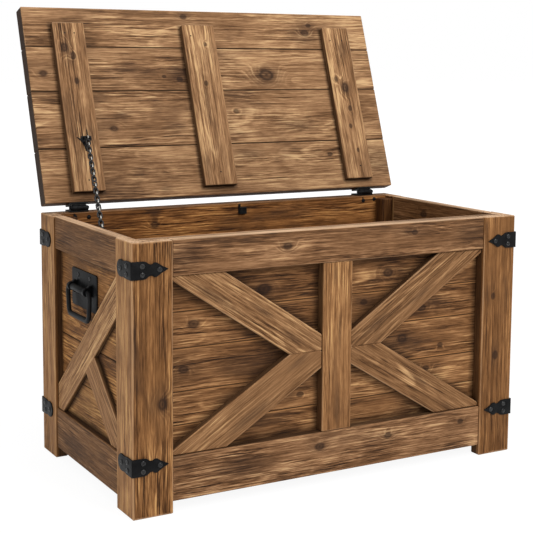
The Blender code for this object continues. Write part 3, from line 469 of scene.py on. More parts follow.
    relief = ridge * 0.3 + fibre * 0.8 + dash * 0.7 + hair * 0.3 - dark * 0.4
    if knots:
        relief = relief - knotCore * 0.5
    return wood.done({
        "Base Color": colour,
        "Roughness": woodLook["roughness"] + (0.5 - fibre) * 0.3 + worn * 0.08,
        "Normal": wood.bump(relief, woodLook["relief"], woodLook["reliefStrength"]),
        "Specular IOR Level": woodLook["specular"],
    })


def sunkShade(wood, kind, place, depth, normal, centre, reach):  # painted shade on the faces sunk behind a board's outer face
    if kind in ("plank", "inner"):
        return 0.0
    if kind == "post":
        x, y, z = wood.split(place, "X", "Y", "Z")
        below = (rightFace - abs(x)).atMost((y - frontFace).atMost(rearFace - y))
        back = (woodLook["postThickness"] - below).atMost(rimHeight - z)
        span = woodLook["sunkPostFade"]
    else:
        outward = Vector((0, -1, 0))
        if kind not in ("batten", "lid"):
            outward = centre - Vector((0, (frontFace + rearFace) / 2, centre.z))
        below = reach - depth * (1 if normal.dot(outward) > 0 else -1)
        underRim = abs(rimHeight - wood.split(place, "Z")) if kind in ("rail", "sideRail") else 1.0
        back = (2 * reach - below).atMost(underRim)
        span = woodLook["sunkFade"]
    return wood.fade(below, *span) * wood.fade(back, *woodLook["backFade"])


def boardDistance(wood, place, name):  # from a point to a board's outline, in the plane of its face
    centre, turn, half = boardFrame(name)
    offsets = [abs(wood.dot(place, turn.col[i]) - centre.dot(turn.col[i])) - half[i] for i in (0, 1)]
    return offsets[0].atLeast(offsets[1])


def battenFace(name):  # middle of the face that looks away from the lid, and the batten's directions
    centre, turn, half = boardFrame(name)
    grain, across, depth = turn.col
    outward = depth if depth.y < 0 else -depth
    return centre + outward * half[2], grain, across, outward


def battenDistance(wood, place):  # from a point on the lid's inner face to the nearest batten
    distance = 1.0
    for side in ("left", "middle", "right"):
        distance = boardDistance(wood, place, f"lid_batten_{side}").atMost(distance)
    face, _, _, outward = battenFace("lid_batten_left")
    lidFace = face.dot(outward) - 2 * boardFrame("lid_batten_left")[2][2]
    below = lidFace - 5 * mm - wood.dot(place, outward)
    return distance.atLeast(0.0) + (below * 50.0).atLeast(0.0)


def openingDistance(wood, place, middle, opening):  # from a point on a wall's outer face to the frame
    x, y, z = wood.split(place, "X", "Y", "Z")
    low, high, stile, braces = opening
    run = x if stile else y
    distance = (run - low[0]).atMost(high[0] - run).atMost((z - low[1]).atMost(high[1] - z))
    if stile:
        distance = distance.atMost(abs(run - stile[0]) - stile[1])
    for brace in braces:
        distance = boardDistance(wood, place, brace).atMost(distance)
    inward = (y - middle.y) if stile else (abs(middle.x) - abs(x))
    return distance.atLeast(0.0) + (inward * 50.0).atLeast(0.0)


# a wall's opening: its low and high corner, the stile's middle and half width, and the braces in it
frontOpening = (
    (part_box("corner_post_front_left")[1].x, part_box("front_bottom_rail")[1].z),
    (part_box("corner_post_front_right")[0].x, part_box("front_top_rail")[0].z),
    (0.0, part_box("front_stile")[1].x),
    [f"front_brace_{level}_{side}" for level in ("upper", "lower") for side in ("left", "right")],
)


def sideOpening(side):
    return (
        (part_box(f"corner_post_front_{side}")[1].y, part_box(f"{side}_bottom_rail")[1].z),
        (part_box(f"corner_post_rear_{side}")[0].y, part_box(f"{side}_top_rail")[0].z),
        None,
        [f"{side}_brace_full", f"{side}_brace_half"],
    )


# what sets a board apart from the rest of its kind: added tone, how lively its grain is, and spots in
# millimetres from its middle: along the grain, across it, a knot's radius, a smudge's half sizes
boards = {
    "lid_plank_1": (0.16, 1.0, (-143, -36, 16, 10), (58, 30, 40, 12), (376, 5, 44, 40), (250, 22, 4)),
    "lid_plank_2": (
        0.02, 1.0, (-261, 41, 34, 12), (-98, -18, 30, 16), (-215, 10, 24, 10), (180, -20, 60, 20),
        (-236, -20, 6), (40, 12, 3.5),
    ),
    "lid_plank_3": (
        0.07, 1.0, (126, -12, 13, 46, 28), (-366, -9, 6, 20, 14), (-72, -6, 26, 16), (-78, -22, 4.5),
        (-112, -16, 3),
    ),
    "lid_plank_4": (0.15, 1.0, (238, -4, 6, 40, 30), (-49, 30, 20, 10), (-49, 27, 4.5), (250, 14, 4)),
    "lid_batten_left": (
        0.0, 1.0, (112, -8, 34, 14), (50, 2, 4, 14, 8), (-60, 14, 34, 12), (118, -14, 6), (101, 2, 5),
    ),
    "lid_batten_middle": (-0.04, 1.0, (2, -5, 60, 7), (-124, -26, 40, 10), (44, -1, 3), (128, 10, 3)),
    "lid_batten_right": (
        0.0, 1.0, (33, 0, 6.5, 16, 14), (120, 8, 20, 12), (52, -20, 4), (-14, 3, 3.5), (-54, -3, 3),
        (-108, 5, 3),
    ),
    "front_top_rail": (
        0.0, 1.0, (-105, 5, 6, 30, 20), (-300, 0, 30, 26), (290, 4, 40, 22), (150, 14, 40, 14),
        (162, 12, 4),
    ),
    "front_bottom_rail": (
        0.1, 1.2, (-36, 13, 6, 28, 16), (-190, 0, 60, 18), (111, 12, 5, 26, 14), (277, 15, 4),
    ),
    "front_plank_2": (
        0.03, 1.0, (-84, -6, 24, 18), (-200, 5, 40, 14), (150, 0, 50, 18), (-64, -6, 5), (210, 8, 5),
    ),
    "front_plank_3": (
        0.0, 1.0, (-292, 0, 6, 40, 30), (-180, -10, 70, 22), (154, 6, 7, 40, 20), (242, -16, 4),
    ),
    "front_plank_4": (
        0.0, 1.0, (-273, 8, 6, 26, 16), (68, 14, 5, 30, 16), (230, 0, 40, 14), (198, -9, 5),
    ),
    "front_plank_5": (
        0.0, 1.0, (-139, -34, 34, 20), (-250, -30, 50, 16), (120, -30, 6, 60, 20), (-139, -38, 8),
    ),
    "corner_post_front_left": (
        0.06, 1.0, (-38, 12, 30, 26), (215, 30, 20, 8), (30, -30, 50, 6), (-41, 17, 7),
    ),
    "corner_post_front_right": (0.06, 0.72, (214, -32, 26, 8), (-37, -3, 5, 30, 12), (78, -12, 4)),
    "corner_post_rear_right": (0.0, 1.0, (60, 4, 6)),
    "corner_post_rear_left": (0.0, 1.0, (-90, -6, 6)),
    "rear_wall": (
        0.0, 1.0, (-176, 196, 12, 26), (-12, 182, 34, 22), (-300, 180, 40, 16), (-176, 186, 6),
        (130, 60, 9), (-60, -110, 8), (240, -30, 7),
    ),
    "left_panel": (
        0.14, 1.0, (90, 80, 50, 20), (20, -120, 120, 70), (60, 160, 150, 62), (-130, 30, 56, 90),
        (28, 60, 8), (-60, -90, 7),
    ),
    "right_panel": (0.0, 1.0, (-40, 40, 9), (70, -80, 7)),
    "floor_board": (0.0, 1.0, (120, 60, 8), (-210, -80, 9)),
    "rear_top_rail": (0.0, 1.0, (90, -6, 7), (-200, 8, 5)),
    "rear_bottom_rail": (0.0, 1.0, (-60, 10, 8)),
    "right_top_rail": (0.0, 1.0, (40, 4, 6)),
    "front_plank_1": (0.05, 1.0, (-125, 45, 50, 14), (180, 20, 60, 24)),
    "front_stile": (0.0, 0.85, (-107, 1, 44, 5), (128, -6, 20, 6), (20, 4, 40, 5)),
    "front_brace_upper_left": (0.06, 1.3, (20, 9, 26, 5), (99, -3, 30, 8), (-80, -16, 60, 8)),
    "front_brace_lower_left": (0.06, 0.5, (-4, -14, 60, 10), (110, 8, 30, 8)),
    "front_brace_upper_right": (0.02, 0.7, (5, -10, 40, 10), (-100, 6, 30, 8)),
    "front_brace_lower_right": (-0.01, 0.75, (10, 9, 40, 8), (100, -6, 40, 10)),
    "left_top_rail": (0.0, 0.75, (-73, 12, 40, 16), (60, -4, 50, 18)),
    "left_bottom_rail": (0.0, 0.8, (55, -10, 60, 22), (-80, 10, 40, 16)),
    "left_brace_full": (0.17, 1.0),
    "left_brace_half": (0.15, 1.0),
}

# where the boards of a glued panel meet, across the panel
seamShares = {
    "left_panel": (0.23, 0.48, 0.74),
    "right_panel": (0.23, 0.48, 0.74),
    "rear_wall": (0.20, 0.40, 0.60, 0.80),
    "floor_board": (0.25, 0.5, 0.75),
}

kindWords = {
    "lid_plank": "lid", "lid_batten": "batten", "corner_post": "post", "stile": "stile", "brace": "brace",
    "front_plank": "plank", "_panel": "plank", "rear_wall": "inner", "floor_board": "inner",
}


def woodKind(name):
    if "rail" in name:
        return "sideRail" if name.startswith(("left", "right")) else "rail"
    if "catch" in name:
        return None
    return next((kind for word, kind in kindWords.items() if word in name), None)


softEdges = {"wood": 0.35 * mm, "iron": 0.25 * mm, "segments": 2, "angle": math.radians(25)}


def softenEdges(thing, kind):  # rounds a CAD piece's edges a little more
    weld = thing.modifiers.new("weld", "WELD")
    weld.merge_threshold = 0.01 * mm
    bevel = thing.modifiers.new("soft edge", "BEVEL")
    bevel.width = softEdges[kind]
    bevel.segments = softEdges["segments"]
    bevel.limit_method = "ANGLE"
    bevel.angle_limit = softEdges["angle"]


def dressWood():
    count = 0
    for name, thing in nodes.items():
        kind = woodKind(name)
        if kind is None:
            continue
        reach = boardFrame(name)[2][1]
        seams = [reach * (2 * share - 1) for share in seamShares.get(name, ())]
        joints, opening = [], None
        if "plank" in name:
            first, last = name.endswith("_1"), name in ("lid_plank_4", "front_plank_5")
            joints = ([] if first else [-reach]) + ([] if last else [reach])
        if name.startswith("front_plank"):
            opening = frontOpening
        if name.endswith("_panel"):
            opening = sideOpening(name.split("_")[0])
        thing.material_slots[0].material = woodFinish(name, kind, seams, joints, opening)
        softenEdges(thing, "wood")
        count += 1
    print("wood dressed:", count, "boards")


# black iron: darkest and lightest colour, roughness, metal's share, specular level

ironKinds = {
    "hammered": (tint(6, 6, 7), tint(26, 26, 27), 0.5, 0.0, 0.12),
    "plain": (tint(13, 13, 14), tint(37, 37, 37), 0.5, 0.0, 0.12),
    "chain": (tint(13, 13, 14), tint(22, 22, 22), 0.3, 0.0, 0.45),
    "screws": (tint(37, 37, 37), tint(68, 67, 66), 0.3, 0.5, 0.6),
    # painted glint: a bright colour on every other chain link, standing in for highlights
    "worn": (tint(188, 186, 178), tint(188, 186, 178), 0.3, 0.5, 0.6),
}
hammerDepth = 0.35 * mm


def ironFinish(kind):
    low, high, roughness, metallic, specular = ironKinds[kind]
    hammered = kind == "hammered"
    iron = Finish(bpy.data.materials.new("black_iron_" + kind))
    place = iron.place()
    if hammered:
        inputs = {"Vector": place, "Scale": 230.0}
        dents = iron.add("ShaderNodeTexVoronoi", {"feature": "SMOOTH_F1"}, inputs)
    else:
        dents = iron.noise(place, 160.0, 2.0)
    grit = iron.noise(place, 1400.0, 2.0, 0.6)
    cloud = iron.noise(place, 60.0, 3.0, 0.6)
    return iron.done({
        "Base Color": iron.mix(iron.fade(cloud + (grit - 0.5) * 0.5, 0.35, 0.85), low, high),
        "Roughness": roughness + (cloud - 0.5) * 0.3 + (grit - 0.5) * 0.2,
        "Normal": iron.bump(dents + grit * 0.12, hammerDepth, 1.0 if hammered else 0.6),
        "Metallic": metallic,
        "Specular IOR Level": specular,
    })


# meshes

creaseAngle = math.radians(40)


def newThing(name, data):
    thing = bpy.data.objects.new(name, data)
    bpy.context.scene.collection.objects.link(thing)
    return thing


def newMesh(name, mesh, materials):
    data = bpy.data.meshes.new(name)
    mesh.to_mesh(data)
    mesh.free()
    for material in materials:
        data.materials.append(material)
    return newThing(name, data)


def newPiece(name, mesh, materials, body, replaced=()):
    bmesh.ops.recalc_face_normals(mesh, faces=mesh.faces)
    mesh.normal_update()
    thing = newMesh(name, mesh, materials)
    for face in thing.data.polygons:
        face.use_smooth = True
    thing.data.set_sharp_from_angle(angle=creaseAngle)
    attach(thing, body)
    if replaced:
        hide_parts(*replaced)


def addRings(mesh, rings, capStart=True, capEnd=True, joinEnds=False):
    made = [[mesh.verts.new(point) for point in ring] for ring in rings]
    pairs = list(zip(made, made[1:]))
    if joinEnds:
        pairs.append((made[-1], made[0]))
    for here, there in pairs:
        for i in range(len(here)):
            j = (i + 1) % len(here)
            mesh.faces.new((here[i], here[j], there[j], there[i]))
    if capStart and not joinEnds:
        mesh.faces.new(made[0][::-1])
    if capEnd and not joinEnds:
        mesh.faces.new(made[-1])


def circle(centre, first, second, radius, sides, start=0.0):
    points = []
    for k in range(sides):
        angle = math.tau * k / sides + start
        points.append(centre + (first * math.cos(angle) + second * math.sin(angle)) * radius)
    return points


def sidesOf(direction):
    helper = Vector((0, 0, 1)) if abs(direction.z) < 0.8 else Vector((1, 0, 0))
    first = direction.cross(helper).normalized()
    return first, direction.cross(first).normalized()


def addTurned(mesh, start, direction, profile, sides):
    first, second = sidesOf(direction)
    addRings(mesh, [
        circle(start + direction * along, first, second, radius, sides) for along, radius in profile
    ])


def mirrored(profile, length):  # the same steps again toward the far end
    return profile + [(length - along, radius) for along, radius in reversed(profile)]


def addWire(mesh, points, radius, sides, upright, spread=None):  # a closed ring of wire
    rings = []
    for i, point in enumerate(points):
        run = (points[(i + 1) % len(points)] - points[i - 1]).normalized()
        first = run.cross(upright).normalized()
        wide = spread[i] if spread else 1.0
        rings.append(circle(point, first * wide, first.cross(run).normalized(), radius, sides))
    addRings(mesh, rings, joinEnds=True)


# domed head with a cross in it: shares of the radius and of the height, from its edge to its middle
screwHead = {
    "radius": 4.4 * mm,
    "height": 2.0 * mm,
    "sides": 24,
    "sink": 0.4 * mm,
    "profile": ((1.0, 0.28), (0.93, 0.5), (0.78, 0.72), (0.56, 0.88), (0.34, 0.97), (0.14, 1.0)),
    "crossReach": 0.6,
    "crossMiddle": 0.2,
    "crossDepth": 0.42,
}


def addScrew(mesh, place, out, turn, radius=screwHead["radius"], height=screwHead["height"]):
    first, second = sidesOf(out)
    sides = screwHead["sides"]
    rings = []
    for reach, rise in ((1.0, -screwHead["sink"] / height),) + screwHead["profile"]:
        ring = circle(place, first, second, radius * reach, sides, turn)
        for k, spot in enumerate(ring):
            inCross = reach < screwHead["crossReach"] and k % (sides // 4) == 0
            cut = screwHead["crossDepth"] if inCross or reach < screwHead["crossMiddle"] else 0.0
            ring[k] = spot + out * (height * (rise - cut))
        rings.append(ring)
    before = len(mesh.faces)
    addRings(mesh, rings, capStart=False)
    mesh.faces.ensure_lookup_table()
    for face in mesh.faces[before:]:
        face.material_index = 1


# corner straps

strap = {
    "thickness": 2.0 * mm,
    "halfHeights": [
        (0, 15), (10, 15), (20, 14.8), (24, 14.2), (27, 12.4), (30, 10.2), (33, 9.2), (35.5, 9.6),
        (38, 11.2), (41, 12.1), (43.5, 11.7), (46, 10.2), (50, 7.6), (54, 5.2), (58, 3.2), (61.5, 1.6),
        (64, 0.3),
    ],
    "screws": ((18, 7), (18, -7), (48.5, 0)),
    "sideHalfHeights": [
        (0, 15), (12, 15), (20, 14.9), (25, 14.2), (29, 13.2), (33, 13.4), (37, 14.2), (42, 14.5),
        (47, 13.8), (51, 11.8), (54, 8.6), (56, 4.8), (57, 0.8),
    ],
    "sideScrews": ((17, 7), (17, -7), (42, 0)),
    "screwTurn": 1.5,
    "rim": 0.5 * mm,
    "backLift": 0.12,
    "bendSteps": 4,
}


def strapPiece(row, side, level, materials):
    name = f"corner_strap_{row}_{side}_{level}"
    low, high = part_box(name)
    full, rim, heads = strap["thickness"], strap["rim"], screwHead["height"]
    inX = 1 if side == "left" else -1
    inY = 1 if row == "front" else -1
    cornerX = (low.x if side == "left" else high.x) + inX * (heads + full)
    cornerY = (low.y if row == "front" else high.y) + inY * (heads + full)

    def at(first, second, b):  # first runs in from the corner along X, second along Y
        return Vector((cornerX + inX * first, cornerY + inY * second, (low.z + high.z) / 2 + b))

    # from the front arm's tip to the corner, round it and along the side arm
    quarter, steps = math.pi / 2, strap["bendSteps"]
    stations = [(run, 0, 0.0, halfHeight) for run, halfHeight in reversed(strap["halfHeights"])]
    stations += [(0, 0, quarter * step / steps, strap["halfHeights"][0][1]) for step in range(1, steps)]
    stations += [(0, run, quarter, halfHeight) for run, halfHeight in strap["sideHalfHeights"]]
    rings = []
    for first, second, angle, halfHeight in stations:
        halfHeight = halfHeight * mm
        inset = min(rim, halfHeight * 0.4)
        edge = [
            (halfHeight, strap["backLift"] * full), (halfHeight, full - rim),
            (halfHeight - inset * 0.3, full - rim * 0.3), (halfHeight - inset, full),
        ]
        rings.append([
            at(first * mm - lift * math.sin(angle), second * mm - lift * math.cos(angle), b)
            for b, lift in [(-b, lift) for b, lift in edge] + [(0, full)] + edge[::-1]
        ])
    mesh = bmesh.new()
    addRings(mesh, rings)
    screws = [(at(run * mm, -full, b * mm), Vector((0, -inY, 0))) for run, b in strap["screws"]]
    screws += [(at(-full, run * mm, b * mm), Vector((-inX, 0, 0))) for run, b in strap["sideScrews"]]
    dice = random.Random(name)
    for place, out in screws:
        addScrew(mesh, place, out, dice.uniform(0, strap["screwTurn"]))
    newPiece("strap_" + name[13:], mesh, materials, "root", [name])


# lift handles

handle = {
    "plateCorner": 4.0 * mm,
    "plateThickness": 2.5 * mm,
    "plateRim": 0.7 * mm,
    "plateLift": 0.1 * mm,
    "pivotStand": 13.0 * mm,
    "pivotDrop": 31.0 * mm,
    "earInset": 22.0 * mm,
    "earRadius": 7.7 * mm,
    "earWidth": 8.0 * mm,
    "earBore": 4.6 * mm,
    "earSides": 28,
    "earSink": 0.4 * mm,
    "earSoft": 0.6 * mm,
    "screwInset": 32.0 * mm,
    "screwDrop": 10.0 * mm,
    "screwTurn": 0.4,
    "barRadius": 4.0 * mm,
    "barHalfWidth": 5.0 * mm,
    "barCorner": 12.0 * mm,
    "barNarrowing": 5.0 * mm,
    "sleeveRadius": 6.0 * mm,
    "sleeveLength": 58.0 * mm,
}


def roundedOutline(low, high, radius, steps=6):
    points = []
    corners = (
        (high[0] - radius, high[1] - radius), (low[0] + radius, high[1] - radius),
        (low[0] + radius, low[1] + radius), (high[0] - radius, low[1] + radius),
    )
    for quarter, (a, b) in enumerate(corners):
        for i in range(steps + 1):
            angle = math.pi / 2 * (quarter + i / steps)
            points.append((a + radius * math.cos(angle), b + radius * math.sin(angle)))
    return points


def addPlate(mesh, low, high, back, face, out):  # rounded back plate between two depths
    rim = handle["plateRim"]
    layers = (
        (0.0, back + out * handle["plateLift"]), (0.0, face - out * rim),
        (rim * 0.3, face - out * rim * 0.3), (rim, face),
    )
    rings = []
    for inset, x in layers:
        lowest, highest = (low.y + inset, low.z + inset), (high.y - inset, high.z - inset)
        outline = roundedOutline(lowest, highest, handle["plateCorner"] - inset)
        rings.append([Vector((x, a, b)) for a, b in outline])
    addRings(mesh, rings)


def addEar(mesh, centre, out):  # rolled tab with the bar's hole through it
    toPlate = handle["pivotStand"] - handle["plateThickness"] + handle["earSink"]
    outer, inner = [], []
    for k in range(handle["earSides"]):
        angle = math.tau * k / handle["earSides"]
        spin = Vector((math.cos(angle), 0, math.sin(angle)))
        reach = handle["earRadius"]
        towardPlate = -out * spin.x
        if towardPlate > 0.3:  # the tab runs back to its plate
            reach = min(min(toPlate, reach * 2) / max(towardPlate, 0.72), math.hypot(reach, toPlate))
        outer.append(spin * reach)
        inner.append(spin * handle["earBore"])
    end, soft = Vector((0, handle["earWidth"] / 2, 0)), Vector((0, handle["earSoft"], 0))
    layers = (
        (-end, inner, 1), (-end, outer, 0.92), (soft - end, outer, 1),
        (end - soft, outer, 1), (end, outer, 0.92), (end, inner, 1),
    )
    rings = [[centre + shift + p * share for p in ring] for shift, ring, share in layers]
    addRings(mesh, rings, joinEnds=True)


def handlePieces(side, materials):
    out = -1 if side == "left" else 1
    plateLow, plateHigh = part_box(f"{side}_handle_plate")
    barLow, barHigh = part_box(f"{side}_handle_bail")
    back = plateHigh.x if side == "left" else plateLow.x
    face = back + out * handle["plateThickness"]
    outward = Vector((out, 0, 0))
    middleY = (plateLow.y + plateHigh.y) / 2
    centre = Vector((back + out * handle["pivotStand"], middleY, plateHigh.z - handle["pivotDrop"]))
    width = (barHigh.y - barLow.y) / 2
    mesh = bmesh.new()
    addPlate(mesh, plateLow, plateHigh, back, face, out)
    for way in (-1, 1):
        addEar(mesh, centre + Vector((0, way * (width - handle["earInset"]), 0)), out)
        screwY = middleY + way * ((plateHigh.y - plateLow.y) / 2 - handle["screwInset"])
        screwAt = Vector((face, screwY, plateHigh.z - handle["screwDrop"]))
        addScrew(mesh, screwAt, outward, handle["screwTurn"] * way)
    newPiece(f"handle_plate_{side}", mesh, materials, "root", [f"{side}_handle_plate"])

    bar = handle["barRadius"]
    reach = width - handle["barHalfWidth"]
    deep = barLow.z + handle["barHalfWidth"] - centre.z
    outline = roundedOutline((-reach, deep), (reach, 0.0), handle["barCorner"], 8)
    narrowing = handle["barNarrowing"] / reach
    points = [centre + Vector((0, a * (1 - narrowing * b / deep), b)) for a, b in outline]
    flatter = handle["barHalfWidth"] / bar - 1  # round in the ears, flatter down the sides and the grip
    spread = [1 + flatter * min(1.0, -b / handle["barCorner"]) for a, b in outline]
    mesh = bmesh.new()
    addWire(mesh, points, bar, 20, outward, spread)
    sleeve, length = handle["sleeveRadius"], handle["sleeveLength"]
    end = [(0, sleeve * 0.62), (0, sleeve * 0.82), (0.5 * mm, sleeve * 0.93), (1.3 * mm, sleeve)]
    addTurned(mesh, centre - Vector((0, length / 2, 0)), Vector((0, 1, 0)), mirrored(end, length), 28)
    newPiece(f"handle_bail_{side}", mesh, materials[:1], f"handle_{side}", [f"{side}_handle_bail"])


# lid chain: two runs of real links, one on each chain body

chain = {
    "linksPerHalf": 12,
    "wireRadius": 1.65 * mm,
    "innerHalfWidth": 1.85 * mm,
    "wireSides": 10,
    "turnSteps": 8,
    "slack": 0.12 * mm,
    "lastGap": 1.98 * mm,
    # painted glints: which faces of every other link are coloured bright
    "glintFacing": -0.35,
    "glintLength": 9.0 * mm,
}


def jointPlace(name):
    return Vector(next(joint for joint in frame["joints"] if joint["name"] == name)["pos_m"])


def chainPieces(materials):
    lower, upper = jointPlace("chain_lower_pivot"), jointPlace("chain_upper_pivot")
    count = chain["linksPerHalf"]
    inner, steps = chain["innerHalfWidth"], chain["turnSteps"]
    run = (upper - lower).normalized()
    pitch = ((upper - lower).length + 2 * inner) / (2 * count)
    upright = (Vector((1, 0, 0)) - run * run.x).normalized()
    crosswise = run.cross(upright).normalized()
    for body, start, way in (("chain_lower", lower, run), ("chain_upper", upper, -run)):
        mesh = bmesh.new()
        # faces that get the painted glint
        worn = []
        for i in range(count):
            flat = (upright, crosswise)[i % 2]
            begin = start - way * inner + way * (pitch * i)
            length = pitch + chain["slack"]
            if i == count - 1:
                length = pitch - chain["lastGap"]
            radius = inner + chain["wireRadius"]
            sideways = flat.cross(way).normalized()
            near, far = begin + way * inner, begin + way * (length - inner)
            points = []
            for centre, first in ((far, -math.pi / 2), (near, math.pi / 2)):
                points += circle(centre, way, sideways, radius, 2 * steps, first)[:steps + 1]
            before = len(mesh.faces)
            addWire(mesh, points, chain["wireRadius"], chain["wireSides"], flat)
            mesh.faces.ensure_lookup_table()
            middle = (near + far) / 2  # painted glint: every other link is coloured bright there, on its front-facing faces
            for face in mesh.faces[before:] if i % 2 == 0 else ():
                if abs((face.calc_center_median() - middle).dot(way)) < chain["glintLength"] / 2:
                    worn.append(face)
        bmesh.ops.recalc_face_normals(mesh, faces=mesh.faces)
        for face in worn:
            if face.normal.y < chain["glintFacing"]:
                face.material_index = 1
        newPiece(body + "_links", mesh, materials, body, [body + "_half"])


# in millimetres from the staple, across the batten and along its grain, where no unit is given
lidBracket = {
    "outline": (
        (-19, 4), (-12, 1), (-5, 3.5), (4, 4), (4.4, -4), (2.6, -14), (3.2, -24), (-3.7, -24),
        (-5.5, -14), (-11, -4),
    ),
    "thickness": 1.6 * mm,
    "lift": 0.1 * mm,
    "rimShare": 0.7,
    "bevel": (0.08, 0.04),
    "screwAt": (-3, -3),
    "screw": (0.5, 3.4 * mm, 1.6 * mm),
    "spikeAt": 3.2,
    "spikeEnds": (2, 19),
    "spikeRadius": 1.0 * mm,
}


def chainBracket(materials):  # forged plate with a screw and a hook's tail, on the left batten
    face, grain, across, outward = battenFace("lid_batten_left")
    low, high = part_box("chain_lid_staple")
    staple = (low + high) / 2
    staple = staple - outward * (staple - face).dot(outward)

    def at(a, u, lift):
        return staple + across * (a * mm) + grain * (u * mm) + outward * lift

    mesh = bmesh.new()
    outline, thick, lift = lidBracket["outline"], lidBracket["thickness"], lidBracket["lift"]
    rim = thick * lidBracket["rimShare"]
    addRings(mesh, [[at(a, u, height) for a, u in outline] for height in (lift, rim)], capEnd=False)
    middleA, middleU = (sum(values) / len(outline) for values in zip(*outline))
    bevelA, bevelU = lidBracket["bevel"]
    addRings(mesh, [
        [at(a, u, rim) for a, u in outline],
        [at(a + (middleA - a) * bevelA, u + (middleU - u) * bevelU, thick) for a, u in outline],
    ], capStart=False)
    bottom, top = lidBracket["spikeEnds"]
    radius, length = lidBracket["spikeRadius"], (top - bottom) * mm
    profile = [(0, radius), (length * 0.85, radius), (length, radius * 0.3)]
    addTurned(mesh, at(lidBracket["spikeAt"], bottom, radius + lift), grain, profile, 10)
    addScrew(mesh, at(*lidBracket["screwAt"], thick), outward, *lidBracket["screw"])
    bmesh.ops.remove_doubles(mesh, verts=mesh.verts, dist=0.001 * mm)
    newPiece("chain_lid_bracket", mesh, materials, "lid")


# steps of the sleeve as shares of its length and radius, and of the neck as millimetres and shares
barrel = {
    "radius": 5.6 * mm,
    "boreRadius": 3.2 * mm,
    "length": 30 * mm,
    "endSoft": 0.8 * mm,
    "endShare": 0.86,
    "steps": ((0.3, 1), (0.31, 0.93), (0.34, 0.93), (0.35, 1)),
    "neckWidth": 26 * mm,
    "neckThickness": 4 * mm,
    "neckSteps": ((3.5, 0.9), (6, 1.0), (9.7, 1.08)),
}


def hingeBarrels(materials):  # sleeves around the hinge knuckles, with necks to the lid's rear edge
    pin = jointPlace("lid_hinge")
    _, grain, across, outward = battenFace("lid_batten_left")
    radius, length = barrel["radius"], barrel["length"]
    wide, thick = barrel["neckWidth"] / 2, barrel["neckThickness"] / 2
    end = [(0, barrel["boreRadius"]), (0, radius * barrel["endShare"]), (barrel["endSoft"], radius)]
    end += [(length * along, radius * share) for along, share in barrel["steps"]]
    for side in ("left", "right"):
        low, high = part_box(f"hinge_{side}_pin")
        middle = Vector(((low.x + high.x) / 2, pin.y, pin.z))
        mesh = bmesh.new()
        addTurned(mesh, middle - Vector((length / 2, 0, 0)), Vector((1, 0, 0)), mirrored(end, length), 28)
        addRings(mesh, [
            [
                middle + grain * (u * mm) + across * (a * wide * share) + outward * (b * thick)
                for a, b in ((-1, -1), (1, -1), (1, 1), (-1, 1))
            ]
            for u, share in barrel["neckSteps"]
        ])
        newPiece(f"hinge_barrel_{side}", mesh, materials, "lid")


# small things: bolt ends with a hook beside them, and nail heads

trim = {
    "boltRadius": 3.0 * mm,
    "boltHeight": 2.4 * mm,
    "boltSpread": 14 * mm,
    "boltDrops": (7 * mm, 9 * mm),
    "washerRadius": 4.2 * mm,
    "washerHeight": 0.5 * mm,
    "sink": 0.3 * mm,
    "hookAt": (-15.5 * mm, -1.1 * mm, -0.5 * mm),
    "hookRadius": 1.0 * mm,
    "hookLength": 7 * mm,
    "nailRadius": 1.5 * mm,
    "nailHeight": 0.35 * mm,
}


def boltEnds(materials):
    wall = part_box("rear_wall")[0].y
    radius, height, washer = trim["boltRadius"], trim["boltHeight"], trim["washerHeight"]
    profile = [
        (-trim["sink"], trim["washerRadius"]), (washer, trim["washerRadius"]),
        (washer + 0.1 * mm, radius), (height * 0.7, radius), (height, radius * 0.6),
    ]
    mesh = bmesh.new()
    for side, inward in (("left", 1), ("right", -1)):
        low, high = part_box(f"hinge_{side}_box_leaf")
        middle = Vector(((low.x + high.x) / 2, wall, rimHeight))
        for way in (-1, 1):
            shift = Vector((way * trim["boltSpread"], 0, -trim["boltDrops"][way == inward]))
            addTurned(mesh, middle + shift, Vector((0, -1, 0)), profile, 18)
        hook = [(0, trim["hookRadius"]), (trim["hookLength"], trim["hookRadius"])]
        addTurned(mesh, middle + Vector(trim["hookAt"]), Vector((0, 0, -1)), hook, 10)
    newPiece("hinge_bolt_ends", mesh, materials, "root")


# places in millimetres from a batten's middle: along the grain, across it
nailPlaces = {
    "lid_batten_left": ((148, -9), (148, 10), (-148, 0)),
    "lid_batten_middle": ((146, -20), (-143, 1)),
    "lid_batten_right": ((140, -18), (140, 12), (-143, 4)),
}


def nailHeads(materials):
    radius, height = trim["nailRadius"], trim["nailHeight"]
    profile = [(-trim["sink"], radius), (height * 0.5, radius), (height, radius * 0.6)]
    mesh = bmesh.new()
    for name, places in nailPlaces.items():
        face, grain, across, outward = battenFace(name)
        for u, a in places:
            addTurned(mesh, face + grain * (u * mm) + across * (a * mm), outward, profile, 12)
    newPiece("batten_nails", mesh, materials, "lid")


def dressIron(material):
    for name, thing in nodes.items():
        if name.startswith(("hinge_", "chain_wall", "chain_lid", "rear_wall_catch")):
            thing.material_slots[0].material = material
            softenEdges(thing, "iron")
    print("iron fittings dressed")


# floor, light and camera; a lamp has its place, target, size and power

